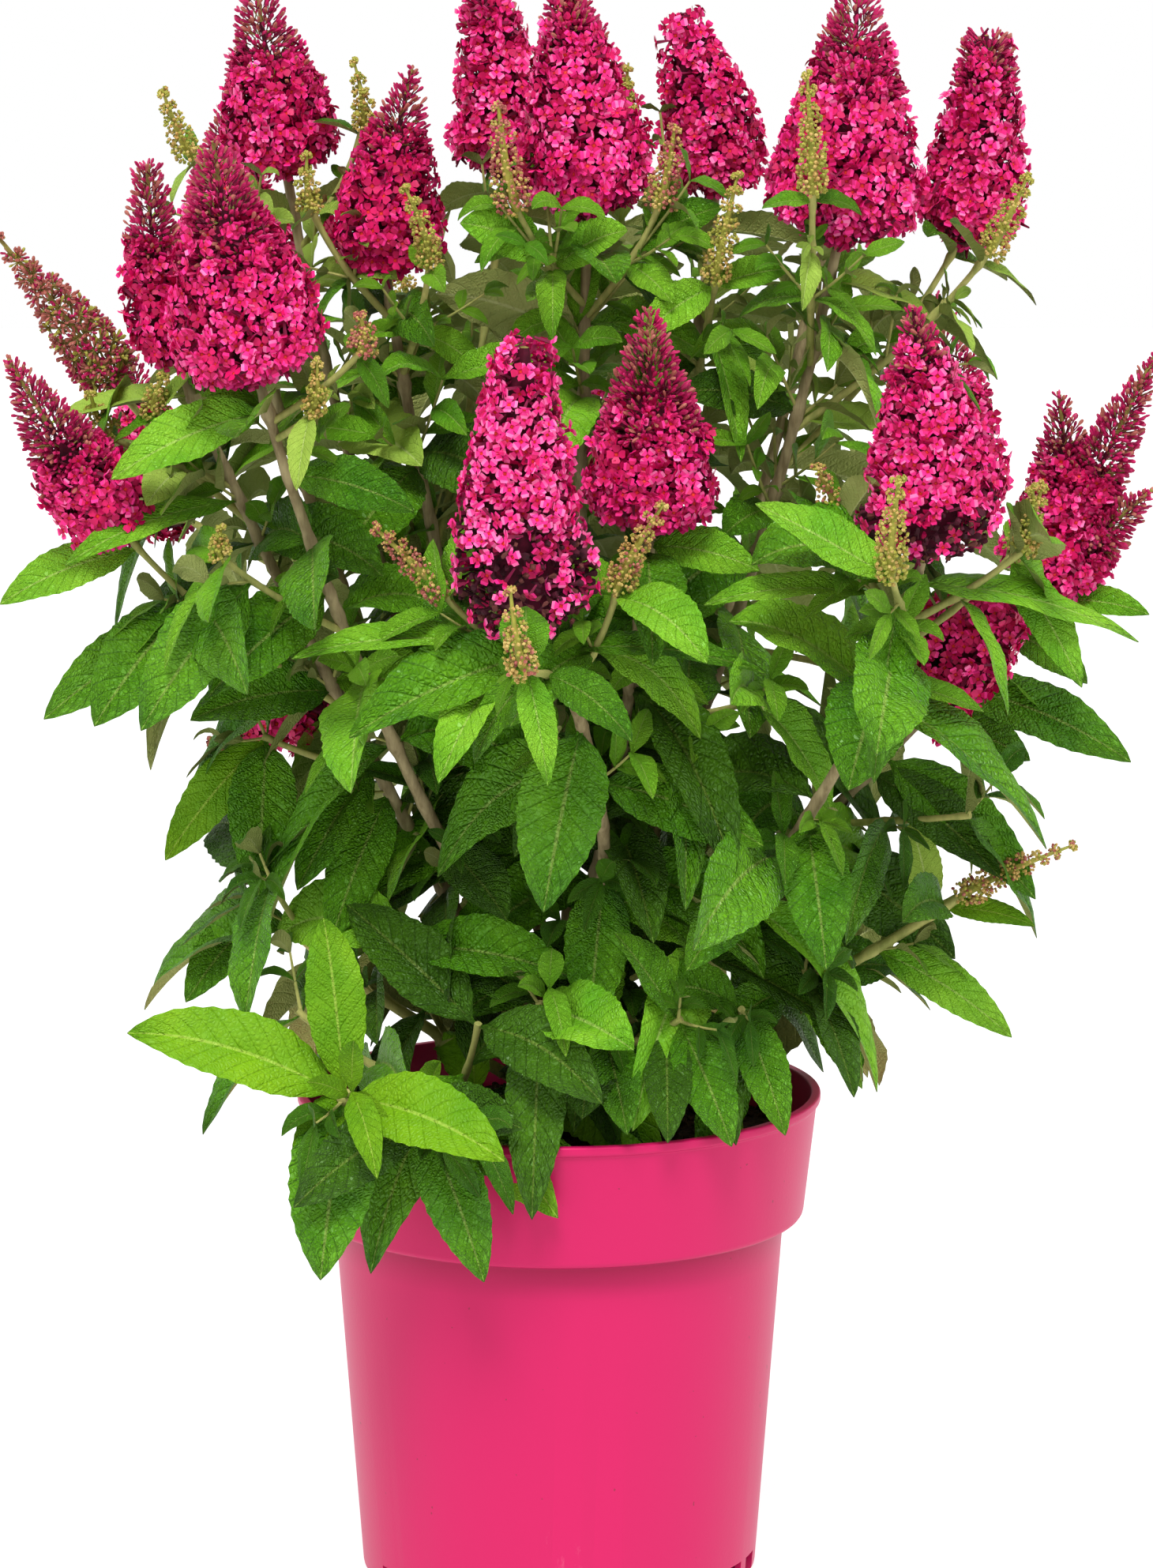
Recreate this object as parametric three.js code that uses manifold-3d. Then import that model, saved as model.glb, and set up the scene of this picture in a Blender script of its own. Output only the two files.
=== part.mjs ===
// A potted butterfly bush: a moulded container filled with compost, a short woody trunk,
// fourteen boughs, the leafy masses that grow on from them, and the flower spikes.
// Units are millimetres, +Z is up, and the origin is the middle of the pot's flat underside.
// The side at -Y is the front.
import * as THREE from "three";
import { mergeVertices } from "three/addons/utils/BufferGeometryUtils.js";
import Module from "manifold-3d";

const wasm = await Module();
wasm.setup();

// ---- Driving dimensions ----

const GAP = 0.3; // clear space between neighbouring solids
const SLIVER = 0.02; // edges shorter than this are dropped from a fused mass
const NEAR = 0.0015; // corners of one mass stand further apart than this

const POT = {
  height: 215,
  rimRadius: 115,
  lipHeight: 4,
  lipStep: 1.6,
  bandHeight: 55,
  bandFootRadius: 107.6,
  wallTopRadius: 99,
  footRadius: 87,
  wall: 2.5,
  floor: 3,
  sides: 36,
};
const DRAIN = { groups: 6, firstTurn: 8, width: 12, rib: 6, height: 10, depth: 12 };
const COMPOST = { edgeHeight: 194, crownHeight: 200, sides: 24 };
// The trunk's profile gives its radius at shares of its height, from the root flare upwards.
const TRUNK = {
  height: 74,
  lean: 4,
  sides: 10,
  profile: [[0, 14], [0.1, 10.9], [0.3, 8.5], [0.94, 5.5], [1, 3.3]],
  lobes: 3,
  lobeShare: 0.12,
};
const BOUGH = { baseRadius: 3.2, tipRadius: 2.7, sides: 6, steps: 3 };
const TWIG = { radius: 2.6, sideRadius: 1.7, tipShare: 0.7, sides: 3, spacing: 60 };
const LEAF = {
  spacing: 33,
  widest: 0.42,
  halfWidth: 0.24,
  fold: 0.1,
  thick: 0.022,
  fullBelow: 460, // leaves that grow higher up are smaller, and smallest this much higher:
  smallOver: 150,
  smallShare: 0.4, // the share of its length that the smallest has lost
  shortfall: 0.3, // the share of its reach that a leaf loses for each unit of droop
};
// Degrees and shares of the pairs of leaves: "Luck" is how much a value may differ either way.
const PAIR = {
  lastAt: 0.96,
  quarter: 90,
  turnLuck: 20,
  rise: 4,
  topRise: 12,
  riseLuck: 12,
  lengthLuck: 0.14,
  droop: 0.5,
  topDroop: 0.25,
  droopLuck: 0.2,
  placedDroop: 0.22,
  placedFace: [0, -1, 0.6],
};
// Places along a flower spike or a bud spike, from 0 to 1, each with its share of the full radius.
const SPIKE = {
  profile: [[0.08, 0.5], [0.17, 0.92], [0.32, 1], [0.5, 0.86], [0.68, 0.64], [0.84, 0.4], [0.95, 0.2]],
  sides: 6,
  leanOn: 0.3,
  mean: 0.94,
  uneven: 0.08,
  lobeAt: 0.12,
  lobeStalk: 2,
  lobeShare: 0.62,
};
const BUDS = { profile: [[-0.06, 0.08], [0.2, 0.9], [0.6, 0.75]], sides: 4, turn: 0.5 };
const SPACE = { halfWidth: 262, halfDepth: 232, middle: 400, halfHeight: 330, low: 150 };

// Each limb rises from the trunk to the foot of its flower spike. "split" is the share of its
// length that is bare bough, and "bow" is how far its middle stands outwards.
// Its mass holds the shoots that fork from it at "from". "leaf" is the length of the largest
// leaves, and "turn" is the turn of the first pair about its stem, in degrees.
// "bloom" and "buds" give the tip of the spike and its width, and "lobes" the tips of side spikes.
// A leaf that is "placed" grows at its share of the shoot to its own tip, instead of the leaf
// whose tip is nearest. Its upper face turns forwards and up, or to its own "face".
const LIMBS = [
  {
    name: "left_front", leave: 34, to: [-124, -90, 535], bow: 15, split: 0.2, leaf: 84, turn: 10,
    placed: [
      { at: 0.31, tip: [-22, -76, 305] },
      { at: 0.7, tip: [-146, -93, 404] },
      { at: 0.87, tip: [-60, -96, 482] },
      { at: 0.96, tip: [-186, -92, 495] },
    ],
    bloom: { tip: [-141, -120, 641], wide: 67 },
    shoots: [
      { from: 0.9, to: [-102, -106, 524], leaf: 40, turn: 60, buds: { tip: [-99, -115, 549], wide: 10 } },
      {
        from: 0.55, to: [-140, -92, 462], leaf: 45, turn: 20, buds: { tip: [-140, -90, 476], wide: 10 },
        placed: [
          { at: 0.7, tip: [-175, -92, 389] },
        ],
      },
      { from: 0.93, to: [-82, -98, 548], leaf: 30, turn: 40, buds: { tip: [-82, -102, 566], wide: 13 } },
    ],
  },
  {
    name: "left", leave: 16, to: [-160, -52, 538], bow: 7, split: 0.2, leaf: 82, turn: 80,
    placed: [
      { at: 0.42, tip: [-98, -52, 290] },
      { at: 0.46, tip: [-112, -50, 313] },
      { at: 0.56, tip: [-156, -64, 389] },
      { at: 0.82, tip: [-205, -100, 460], face: [0, -0.6, 1] },
    ],
    bloom: { tip: [-171, -70, 628], wide: 32 },
    shoots: [
      { from: 0.74, to: [-185, -28, 524], leaf: 60, turn: 0, bloom: { tip: [-238, -60, 597], wide: 32 } },
      {
        from: 0.42, to: [-181, -60, 466], leaf: 80, turn: 30, bloom: { tip: [-228, -110, 550], wide: 43 },
        placed: [
          { at: 0.55, tip: [-219, -55, 388] },
          { at: 0.64, tip: [-196, -74, 388] },
          { at: 0.94, tip: [-235, -74, 440] },
        ],
      },
      { from: 0.9, to: [-168, -64, 520], leaf: 30, turn: 30, buds: { tip: [-164, -72, 538], wide: 12 } },
      {
        from: 0.8, to: [-188, -54, 508], leaf: 34, turn: 70, buds: { tip: [-197, -62, 530], wide: 13 },
        placed: [
          { at: 0.36, tip: [-172, -84, 483] },
        ],
      },
      {
        from: 0.3, to: [-128, -14, 374], leaf: 62, turn: 20,
        placed: [
          { at: 0.96, tip: [-170, -28, 322] },
          { at: 0.96, tip: [-129, -44, 308] },
        ],
      },
    ],
  },
  {
    name: "left_back", leave: 38, to: [-117, 20, 612], bow: 14, split: 0.2, leaf: 80, turn: 45,
    placed: [
      { at: 0.76, tip: [-42, 5, 528] },
    ],
    bloom: { tip: [-131, 10, 704], wide: 52, lobes: [[-102, 30, 658]] },
    shoots: [
      { from: 0.86, to: [-155, -30, 624], leaf: 42, turn: 0, buds: { tip: [-167, -40, 655], wide: 12 } },
      { from: 0.9, to: [-84, 0, 634], leaf: 40, turn: 90, buds: { tip: [-88, 0, 666], wide: 10 } },
      { from: 0.24, to: [-102, 44, 376], leaf: 58, turn: 10, bloom: { tip: [-160, 62, 358], wide: 32 } },
    ],
  },
  {
    name: "centre_left", leave: 53, to: [-73, -20, 572], bow: 8, split: 0.2, leaf: 80, turn: 30,
    placed: [
      { at: 0.3, tip: [-81, -40, 304] },
      { at: 0.75, tip: [-92, -60, 457] },
    ],
    bloom: { tip: [-61, -20, 665], wide: 51 },
    shoots: [
      { from: 0.55, to: [-24, 58, 610], leaf: 62, turn: 70, bloom: { tip: [-34, 60, 702], wide: 49 } },
      { from: 0.84, to: [-54, -54, 580], leaf: 44, turn: 10, buds: { tip: [-65, -60, 616], wide: 12 } },
      { from: 0.93, to: [-104, -34, 602], leaf: 36, turn: 0, buds: { tip: [-106, -36, 628], wide: 11 } },
    ],
  },
  {
    name: "centre", leave: 73, to: [12, -30, 598], bow: 3, split: 0.2, leaf: 82, turn: 0,
    placed: [
      { at: 0.84, tip: [-52, -30, 567], face: [0, 1, 0.5] },
    ],
    bloom: { tip: [-1, -40, 708], wide: 56 },
    shoots: [
      {
        from: 0.86, to: [-17, -56, 604], leaf: 52, turn: 80, buds: { tip: [-25, -62, 650], wide: 16 },
        placed: [
          { at: 0.5, tip: [-41, -60, 599] },
          { at: 0.4, tip: [29, -62, 596] },
        ],
      },
      {
        from: 0.84, to: [42, -46, 604], leaf: 50, turn: 20, buds: { tip: [49, -50, 640], wide: 14 },
        placed: [
          { at: 0.6, tip: [69, -50, 605] },
          { at: 0.5, tip: [48, -66, 566] },
        ],
      },
    ],
  },
  {
    name: "right_inner", leave: 50, to: [68, 38, 603], bow: 8, split: 0.2, leaf: 80, turn: 60,
    placed: [
      { at: 0.84, tip: [94, 0, 518] },
    ],
    bloom: { tip: [51, 40, 684], wide: 48 },
    shoots: [
      { from: 0.66, to: [66, -50, 574], leaf: 55, turn: 20, buds: { tip: [76, -54, 622], wide: 13 } },
      { from: 0.92, to: [31, 4, 632], leaf: 36, turn: 50, buds: { tip: [30, 0, 664], wide: 10 } },
    ],
  },
  {
    name: "right_mid", leave: 38, to: [118, -30, 586], bow: 12, split: 0.2, leaf: 84, turn: 20,
    placed: [
      { at: 0.68, tip: [70, -50, 466] },
      { at: 0.8, tip: [51, -50, 527] },
    ],
    bloom: { tip: [126, -30, 706], wide: 66 },
    shoots: [
      { from: 0.66, to: [172, 28, 582], leaf: 62, turn: 50, bloom: { tip: [184, 20, 678], wide: 48 } },
      { from: 0.82, to: [106, -72, 612], leaf: 46, turn: 0, buds: { tip: [103, -74, 664], wide: 13 } },
      { from: 0.72, to: [182, -20, 582], leaf: 52, turn: 30, buds: { tip: [200, -22, 618], wide: 14 } },
    ],
  },
  {
    name: "front", leave: 34, to: [-6, -128, 436], bow: 8, aside: 22, split: 0.2, leaf: 88, turn: 84,
    placed: [
      { at: 0.27, tip: [-45, -60, 258] },
      { at: 0.43, tip: [13, -96, 262] },
      { at: 0.66, tip: [86, -104, 342] },
      { at: 0.79, tip: [-6, -126, 318] },
      { at: 0.96, tip: [86, -124, 418], face: [0, -0.6, 1] },
    ],
    bloom: { tip: [-13, -160, 562], wide: 61 },
    shoots: [
      {
        from: 0.82, to: [-46, -112, 448], leaf: 66, turn: 60, buds: { tip: [-77, -116, 479], wide: 14 },
        placed: [
          { at: 0.52, tip: [-110, -122, 424], face: [0, -0.6, 1] },
        ],
      },
      { from: 0.88, to: [-13, -178, 428], leaf: 44, turn: 0, buds: { tip: [-19, -192, 464], wide: 13 } },
      { from: 0.84, to: [24, -128, 452], leaf: 60, turn: 40, buds: { tip: [44, -136, 491], wide: 14 } },
    ],
  },
  {
    name: "front_right", leave: 54, to: [38, -80, 472], bow: 10, split: 0.2, leaf: 80, turn: 20,
    placed: [
      { at: 0.97, tip: [84, -95, 457] },
    ],
    bloom: { tip: [37, -92, 570], wide: 58 },
    shoots: [
      { from: 0.5, to: [84, -92, 402], leaf: 66, turn: 60 },
    ],
  },
  {
    name: "right_front", leave: 16, to: [150, -118, 464], bow: 30, split: 0.2, leaf: 88, turn: 70,
    placed: [
      { at: 0.41, tip: [54, -100, 288] },
      { at: 0.54, tip: [112, -118, 292] },
      { at: 0.81, tip: [119, -152, 374] },
      { at: 0.96, tip: [244, -80, 425] },
    ],
    bloom: { tip: [144, -132, 574], wide: 60 },
    shoots: [
      { from: 0.88, to: [136, -152, 462], leaf: 62, turn: 80, buds: { tip: [138, -168, 507], wide: 14 } },
      {
        from: 0.86, to: [118, -104, 478], leaf: 50, turn: 30, buds: { tip: [106, -112, 504], wide: 13 },
        placed: [
          { at: 0.3, tip: [60, -127, 447], face: [0, -0.6, 1] },
        ],
      },
      {
        from: 0.8, to: [190, -84, 462], leaf: 70, turn: 0, buds: { tip: [203, -84, 494], wide: 13 },
        placed: [
          { at: 0.96, tip: [219, -96, 408] },
        ],
      },
      { from: 0.86, to: [192, -104, 466], leaf: 40, turn: 50, buds: { tip: [196, -108, 496], wide: 12 } },
    ],
  },
  {
    name: "right", leave: 25, to: [204, -30, 438], bow: 6, split: 0.2, leaf: 84, turn: 40,
    placed: [
      { at: 0.48, tip: [172, -25, 278] },
      { at: 0.63, tip: [189, -52, 319] },
      { at: 0.66, tip: [205, -44, 308] },
      { at: 0.74, tip: [202, -42, 368] },
      { at: 0.81, tip: [246, -34, 366] },
      { at: 0.93, tip: [225, -53, 403] },
      { at: 0.98, tip: [250, -62, 434] },
    ],
    bloom: { tip: [211, -50, 530], wide: 50, lobes: [[252, -62, 547], [252, -60, 488]] },
    shoots: [
      {
        from: 0.7, to: [172, -58, 442], lift: 24, leaf: 36, turn: 60,
        bloom: { tip: [161, -72, 380], wide: 54 },
      },
      { from: 0.4, to: [176, -52, 346], leaf: 70, turn: 20 },
    ],
  },
  {
    name: "back_left", leave: 28, to: [-140, 90, 556], bow: 14, split: 0.2, leaf: 82, turn: 25,
    bloom: { tip: [-150, 110, 642], wide: 55 },
    shoots: [
      { from: 0.5, to: [-166, 110, 452], leaf: 74, turn: 60, bloom: { tip: [-196, 136, 532], wide: 46 } },
    ],
  },
  {
    name: "back", leave: 36, to: [14, 132, 596], bow: 12, split: 0.2, leaf: 84, turn: 50,
    bloom: { tip: [8, 150, 694], wide: 56 },
    shoots: [
      { from: 0.4, to: [12, 172, 430], leaf: 80, turn: 0, bloom: { tip: [15, 200, 524], wide: 58 } },
      { from: 0.66, to: [-62, 134, 540], leaf: 62, turn: 30, buds: { tip: [-74, 142, 580], wide: 13 } },
    ],
  },
  {
    name: "back_right", leave: 32, to: [120, 110, 583], bow: 14, split: 0.2, leaf: 84, turn: 75,
    bloom: { tip: [125, 130, 684], wide: 60 },
    shoots: [
      { from: 0.5, to: [165, 122, 458], leaf: 76, turn: 15, bloom: { tip: [170, 148, 556], wide: 56 } },
      { from: 0.36, to: [178, 66, 380], leaf: 70, turn: 40 },
    ],
  },
];

// Low leafy sprays that start at the trunk itself and spread over the rim.
const SPRAYS = [
  {
    name: "low_front_left", leave: 10, to: [-92, -110, 236], bow: 14, leaf: 86, turn: 4,
    placed: [
      { at: 0.96, tip: [-180, -122, 266] },
      { at: 0.96, tip: [-98, -116, 314] },
      { at: 0.96, tip: [-22, -160, 220] },
      { at: 0.96, tip: [-99, -146, 166] },
      { at: 0.9, tip: [-111, -126, 212] },
    ],
    shoots: [
      {
        from: 0.66, to: [-56, -112, 226], leaf: 76, turn: 80,
        placed: [{ at: 0.5, tip: [-15, -126, 226] }, { at: 0.96, tip: [-31, -134, 162] }],
      },
      { from: 0.45, to: [-112, -58, 262], leaf: 72, turn: 30 },
      { from: 0.4, to: [-34, -84, 262], leaf: 84, turn: 60 },
    ],
  },
  {
    name: "low_front", leave: 8, to: [20, -86, 262], bow: 4, leaf: 62, turn: 30,
    placed: [
      { at: 0.77, tip: [10, -120, 229] },
      { at: 0.94, tip: [29, -120, 222] },
    ],
    shoots: [
      {
        from: 0.6, to: [52, -84, 264], leaf: 54, turn: 70,
        placed: [
          { at: 0.8, tip: [46, -118, 218] },
          { at: 0.96, tip: [73, -112, 215] },
        ],
      },
      { from: 0.4, to: [-8, -80, 270], leaf: 76, turn: 60, placed: [{ at: 0.96, tip: [-11, -130, 188] }] },
      { from: 0.3, to: [60, -56, 290], leaf: 70, turn: 10 },
    ],
  },
  {
    name: "low_right", leave: 9, to: [172, -40, 308], bow: 10, leaf: 72, turn: 45,
    placed: [
      { at: 0.61, tip: [128, -60, 231] },
      { at: 0.75, tip: [196, -38, 246] },
      { at: 0.92, tip: [151, -42, 341] },
      { at: 0.95, tip: [205, -43, 296] },
    ],
    buds: { tip: [223, -42, 332], wide: 13 },
    shoots: [
      { from: 0.4, to: [78, -74, 266], leaf: 62, turn: 70, placed: [{ at: 0.96, tip: [96, -100, 217] }] },
      { from: 0.5, to: [106, -52, 278], leaf: 66, turn: 20 },
      { from: 0.5, to: [116, 26, 262], leaf: 68, turn: 50, placed: [{ at: 0.4, tip: [134, 12, 212] }] },
    ],
  },
  {
    name: "low_left", leave: 8, to: [-132, 0, 300], bow: 10, leaf: 76, turn: 30,
    placed: [
      { at: 0.96, tip: [-162, -26, 259] },
    ],
    shoots: [
      { from: 0.5, to: [-108, 54, 262], leaf: 66, turn: 0 },
      { from: 0.3, to: [-66, -58, 292], leaf: 76, turn: 60 },
      { from: 0.7, to: [-124, -46, 318], leaf: 74, turn: 10 },
    ],
  },
  {
    name: "low_back", leave: 12, to: [10, 130, 276], bow: 10, leaf: 74, turn: 20,
    shoots: [
      { from: 0.4, to: [86, 100, 276], leaf: 72, turn: 50 },
      { from: 0.4, to: [-76, 104, 262], leaf: 72, turn: 70 },
    ],
  },
];

// ---- Finishes ----

const finish = (color, roughness) => new THREE.MeshStandardMaterial({ color, roughness, metalness: 0 });
const potPlastic = finish("#e0306f", 0.45);
const compostBrown = finish("#3a2a20", 0.95);
const barkBrown = finish("#8a7c58", 0.8);
const leafGreen = finish("#44802a", 0.55);
const petalPink = finish("#d81f68", 0.6);

// ---- Small tools ----

const X = new THREE.Vector3(1, 0, 0);
const Y = new THREE.Vector3(0, 1, 0);
const Z = new THREE.Vector3(0, 0, 1);
const point = (p) => new THREE.Vector3(...p);
const degrees = (a) => (a * Math.PI) / 180;
const sum = (...terms) => terms.reduce((v, [dir, k]) => v.addScaledVector(dir, k), new THREE.Vector3());

// A repeatable number from 0 to 1 for shoot a, place b and side c.
function chance(a, b, c) {
  const s = Math.sin(a * 12.9898 + b * 78.233 + c * 37.719) * 43758.5453;
  return s - Math.floor(s);
}

// A closed geometry, made a manifold-3d solid.
function solidOf(geometry) {
  const bare = geometry.clone();
  bare.deleteAttribute("normal");
  bare.deleteAttribute("uv");
  const merged = mergeVertices(bare, 1e-4);
  return new wasm.Manifold(
    new wasm.Mesh({
      numProp: 3,
      vertProperties: merged.attributes.position.array,
      triVerts: new Uint32Array(merged.index.array),
    }),
  );
}

// Rings of equal count joined by quads, with a flat fan or a single point at each end.
function skin(rings) {
  const places = rings.flat().flatMap((v) => v.toArray());
  const faces = [];
  let start = 0;
  rings.slice(1).forEach((ring, i) => {
    const n = rings[i].length;
    const next = start + n;
    for (let j = 0; j < Math.max(n, ring.length); j++) {
      const k = (j + 1) % Math.max(n, ring.length);
      if (n > 1) faces.push(start + j, start + k, next + (j % ring.length));
      if (ring.length > 1) faces.push(start + (k % n), next + k, next + j);
    }
    start = next;
  });
  const last = rings.at(-1).length;
  for (let j = 1; j < rings[0].length - 1; j++) faces.push(0, j + 1, j);
  for (let j = 1; j < last - 1; j++) faces.push(start, start + j, start + j + 1);
  const geometry = new THREE.BufferGeometry();
  geometry.setAttribute("position", new THREE.Float32BufferAttribute(places, 3));
  geometry.setIndex(faces);
  return geometry;
}

// The two directions across a curve at t, from one fixed direction so that rings don't twist.
function frameAt(curve, t) {
  const along = curve.getTangent(t);
  const fixed = Math.abs(curve.getTangent(0.5).dot(X)) > 0.8 ? Y : X;
  const across = sum([fixed, 1], [along, -fixed.dot(along)]).normalize();
  return { along, across, over: along.clone().cross(across) };
}

function ringAt(curve, t, sides, radiusOf, turn = 0) {
  const { across, over } = frameAt(curve, t);
  const centre = curve.getPoint(t);
  return Array.from({ length: sides }, (_, i) => {
    const a = turn + (i / sides) * 2 * Math.PI;
    const r = radiusOf(i);
    return sum([centre, 1], [across, r * Math.cos(a)], [over, r * Math.sin(a)]);
  });
}

// A tapering limb along a curve from t0 to t1.
function limb(curve, t0, t1, r0, r1, sides, steps) {
  const rings = [];
  for (let i = 0; i <= steps; i++) {
    const u = i / steps;
    rings.push(ringAt(curve, t0 + (t1 - t0) * u, sides, () => r0 + (r1 - r0) * u));
  }
  return solidOf(skin(rings));
}

// A curve from one point to another whose middle stands "bow" millimetres outwards, "aside"
// millimetres to the left of its way and "lift" millimetres up.
function bowed(from, to, bow, aside = 0, lift = 0) {
  const out = new THREE.Vector3(to.x - from.x, to.y - from.y, 0).normalize();
  const left = Z.clone().cross(out);
  const control = sum([from, 0.5], [to, 0.5], [out, 2 * bow], [left, 2 * aside], [Z, 2 * lift]);
  return new THREE.QuadraticBezierCurve3(from, control, to);
}

// ---- Pot, compost and trunk ----

function pot() {
  const p = POT;
  const bandFoot = p.height - p.bandHeight;
  const inner = p.wall;
  const profile = [
    [0, 0],
    [p.footRadius - 3, 0],
    [p.footRadius - 0.8, 1],
    [p.footRadius, 3],
    [p.wallTopRadius, bandFoot - 2],
    [p.bandFootRadius - 3, bandFoot],
    [p.bandFootRadius - 0.8, bandFoot + 1],
    [p.bandFootRadius, bandFoot + 3.5],
    [p.rimRadius - p.lipStep, p.height - p.lipHeight],
    [p.rimRadius, p.height - p.lipHeight + 1],
    [p.rimRadius, p.height - 1],
    [p.rimRadius - 1, p.height],
    [p.rimRadius - inner - p.lipStep, p.height],
    [p.bandFootRadius - inner, bandFoot + 3.5],
    [p.wallTopRadius - inner, bandFoot - 2 + inner],
    [p.footRadius - inner, p.floor],
    [0, p.floor],
  ].map(([r, z]) => new THREE.Vector2(r, z));
  const shell = new THREE.LatheGeometry(profile, p.sides);
  shell.rotateX(Math.PI / 2);
  let solid = solidOf(shell);
  for (let g = 0; g < DRAIN.groups; g++) {
    for (const side of [-0.5, 0.5]) {
      const slot = new THREE.BoxGeometry(DRAIN.width, DRAIN.depth, 2 * DRAIN.height);
      slot.translate(side * (DRAIN.width + DRAIN.rib), -p.footRadius, 0);
      slot.rotateZ(degrees(DRAIN.firstTurn + (360 / DRAIN.groups) * g));
      solid = solid.subtract(solidOf(slot));
    }
  }
  return solid;
}

function compost() {
  const p = POT;
  const bandFoot = p.height - p.bandHeight;
  const fit = p.wall + 2 * GAP;
  const slope = (p.rimRadius - p.lipStep - p.bandFootRadius) / (p.bandHeight - p.lipHeight - 3.5);
  const edge = p.bandFootRadius + slope * (COMPOST.edgeHeight - bandFoot - 3.5) - fit;
  const profile = [
    [0, p.floor + GAP],
    [p.footRadius - fit - 1, p.floor + GAP],
    [p.wallTopRadius - fit, bandFoot + 1],
    [p.bandFootRadius - fit, bandFoot + 6],
    [edge - 1, COMPOST.edgeHeight],
    [edge * 0.6, COMPOST.edgeHeight + 4],
    [edge * 0.3, COMPOST.crownHeight],
    [0, COMPOST.crownHeight],
  ].map(([r, z]) => new THREE.Vector2(r, z));
  const fill = new THREE.LatheGeometry(profile, COMPOST.sides);
  fill.rotateX(Math.PI / 2);
  return solidOf(fill);
}

const ground = COMPOST.crownHeight + GAP;

// The trunk's axis at a height above the ground: it leans a little as it rises.
function trunkAxis(height) {
  return new THREE.Vector3(TRUNK.lean * (height / TRUNK.height), 0, ground + height);
}

// A short leaning trunk: a lobed root flare on a flat cut, then a taper to its top. "more" makes
// the fatter copy that limbs are cut by, so that each stands clear of its bark.
function trunk(more = 0) {
  const rings = TRUNK.profile.map(([share, radius]) => {
    const centre = trunkAxis(share * TRUNK.height + (share === 1 ? more : 0));
    return Array.from({ length: TRUNK.sides }, (_, i) => {
      const a = (i / TRUNK.sides) * 2 * Math.PI;
      const lobe = TRUNK.lobeShare * (1 - share) ** 3 * Math.cos(TRUNK.lobes * a);
      const r = radius * (1 + lobe) + 1.1 * more;
      return sum([centre, 1], [X, r * Math.cos(a)], [Y, r * Math.sin(a)]);
    });
  });
  return solidOf(skin(rings));
}

// ---- Leaves, buds and flower spikes ----

// A leaf is a creased kite: its root on the twig's axis, two edges, a folded midrib with a keel
// under it, and a drooping tip. It turns its upper face to its own "face", or outwards and up.
// Returns null where the leaf would leave the plant's own space.
function leaf(row) {
  const { root, along, length } = row;
  const tip = midrib(row, 1);
  const middle = midrib(row, LEAF.widest);
  const away = new THREE.Vector3(root.x, root.y, 0).divideScalar(40).clampLength(0, 1);
  const up = row.face ?? sum([along, 0.4], [Z, 0.4], [away, 0.8]);
  const run = sum([tip, 1], [root, -1]).normalize();
  const side = run.clone().cross(up).normalize();
  const face = side.clone().cross(run).normalize();
  const half = length * LEAF.halfWidth;
  const crease = (length * LEAF.fold) / 2;
  const rim = [
    sum([middle, 1], [side, -half], [face, crease]),
    sum([middle, 1], [face, -crease]),
    sum([middle, 1], [side, half], [face, crease]),
    sum([middle, 1], [face, -crease - length * LEAF.thick]),
  ];
  return insideSpace(tip) ? solidOf(skin([[root], rim, [tip]])) : null;
}

// The place at share s of a leaf's midrib, which droops more and more towards its tip.
function midrib({ root, heading, length, droop }, s) {
  const forward = length * s * (1 - LEAF.shortfall * droop * s);
  return sum([root, 1], [heading, forward], [Z, -length * droop * s * s]);
}

// The heading and length of a leaf with the placed leaves' droop that ends at a given tip.
function leafTo(root, along, tip) {
  const droop = PAIR.placedDroop;
  const way = sum([tip, 1], [root, -1]);
  const forward = 1 - LEAF.shortfall * droop;
  const a = forward ** 2 - droop ** 2;
  const b = way.z * droop;
  const length = (b + Math.sqrt(b ** 2 + a * way.lengthSq())) / a;
  const heading = sum([way, 1], [Z, length * droop]).divideScalar(length * forward);
  return { root, heading, along, length, droop };
}

function insideSpace(p) {
  const s = SPACE;
  const level = Math.max(0, p.z - s.middle) / s.halfHeight;
  return (p.x / s.halfWidth) ** 2 + (p.y / s.halfDepth) ** 2 + level ** 6 < 1 && p.z > s.low;
}

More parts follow.
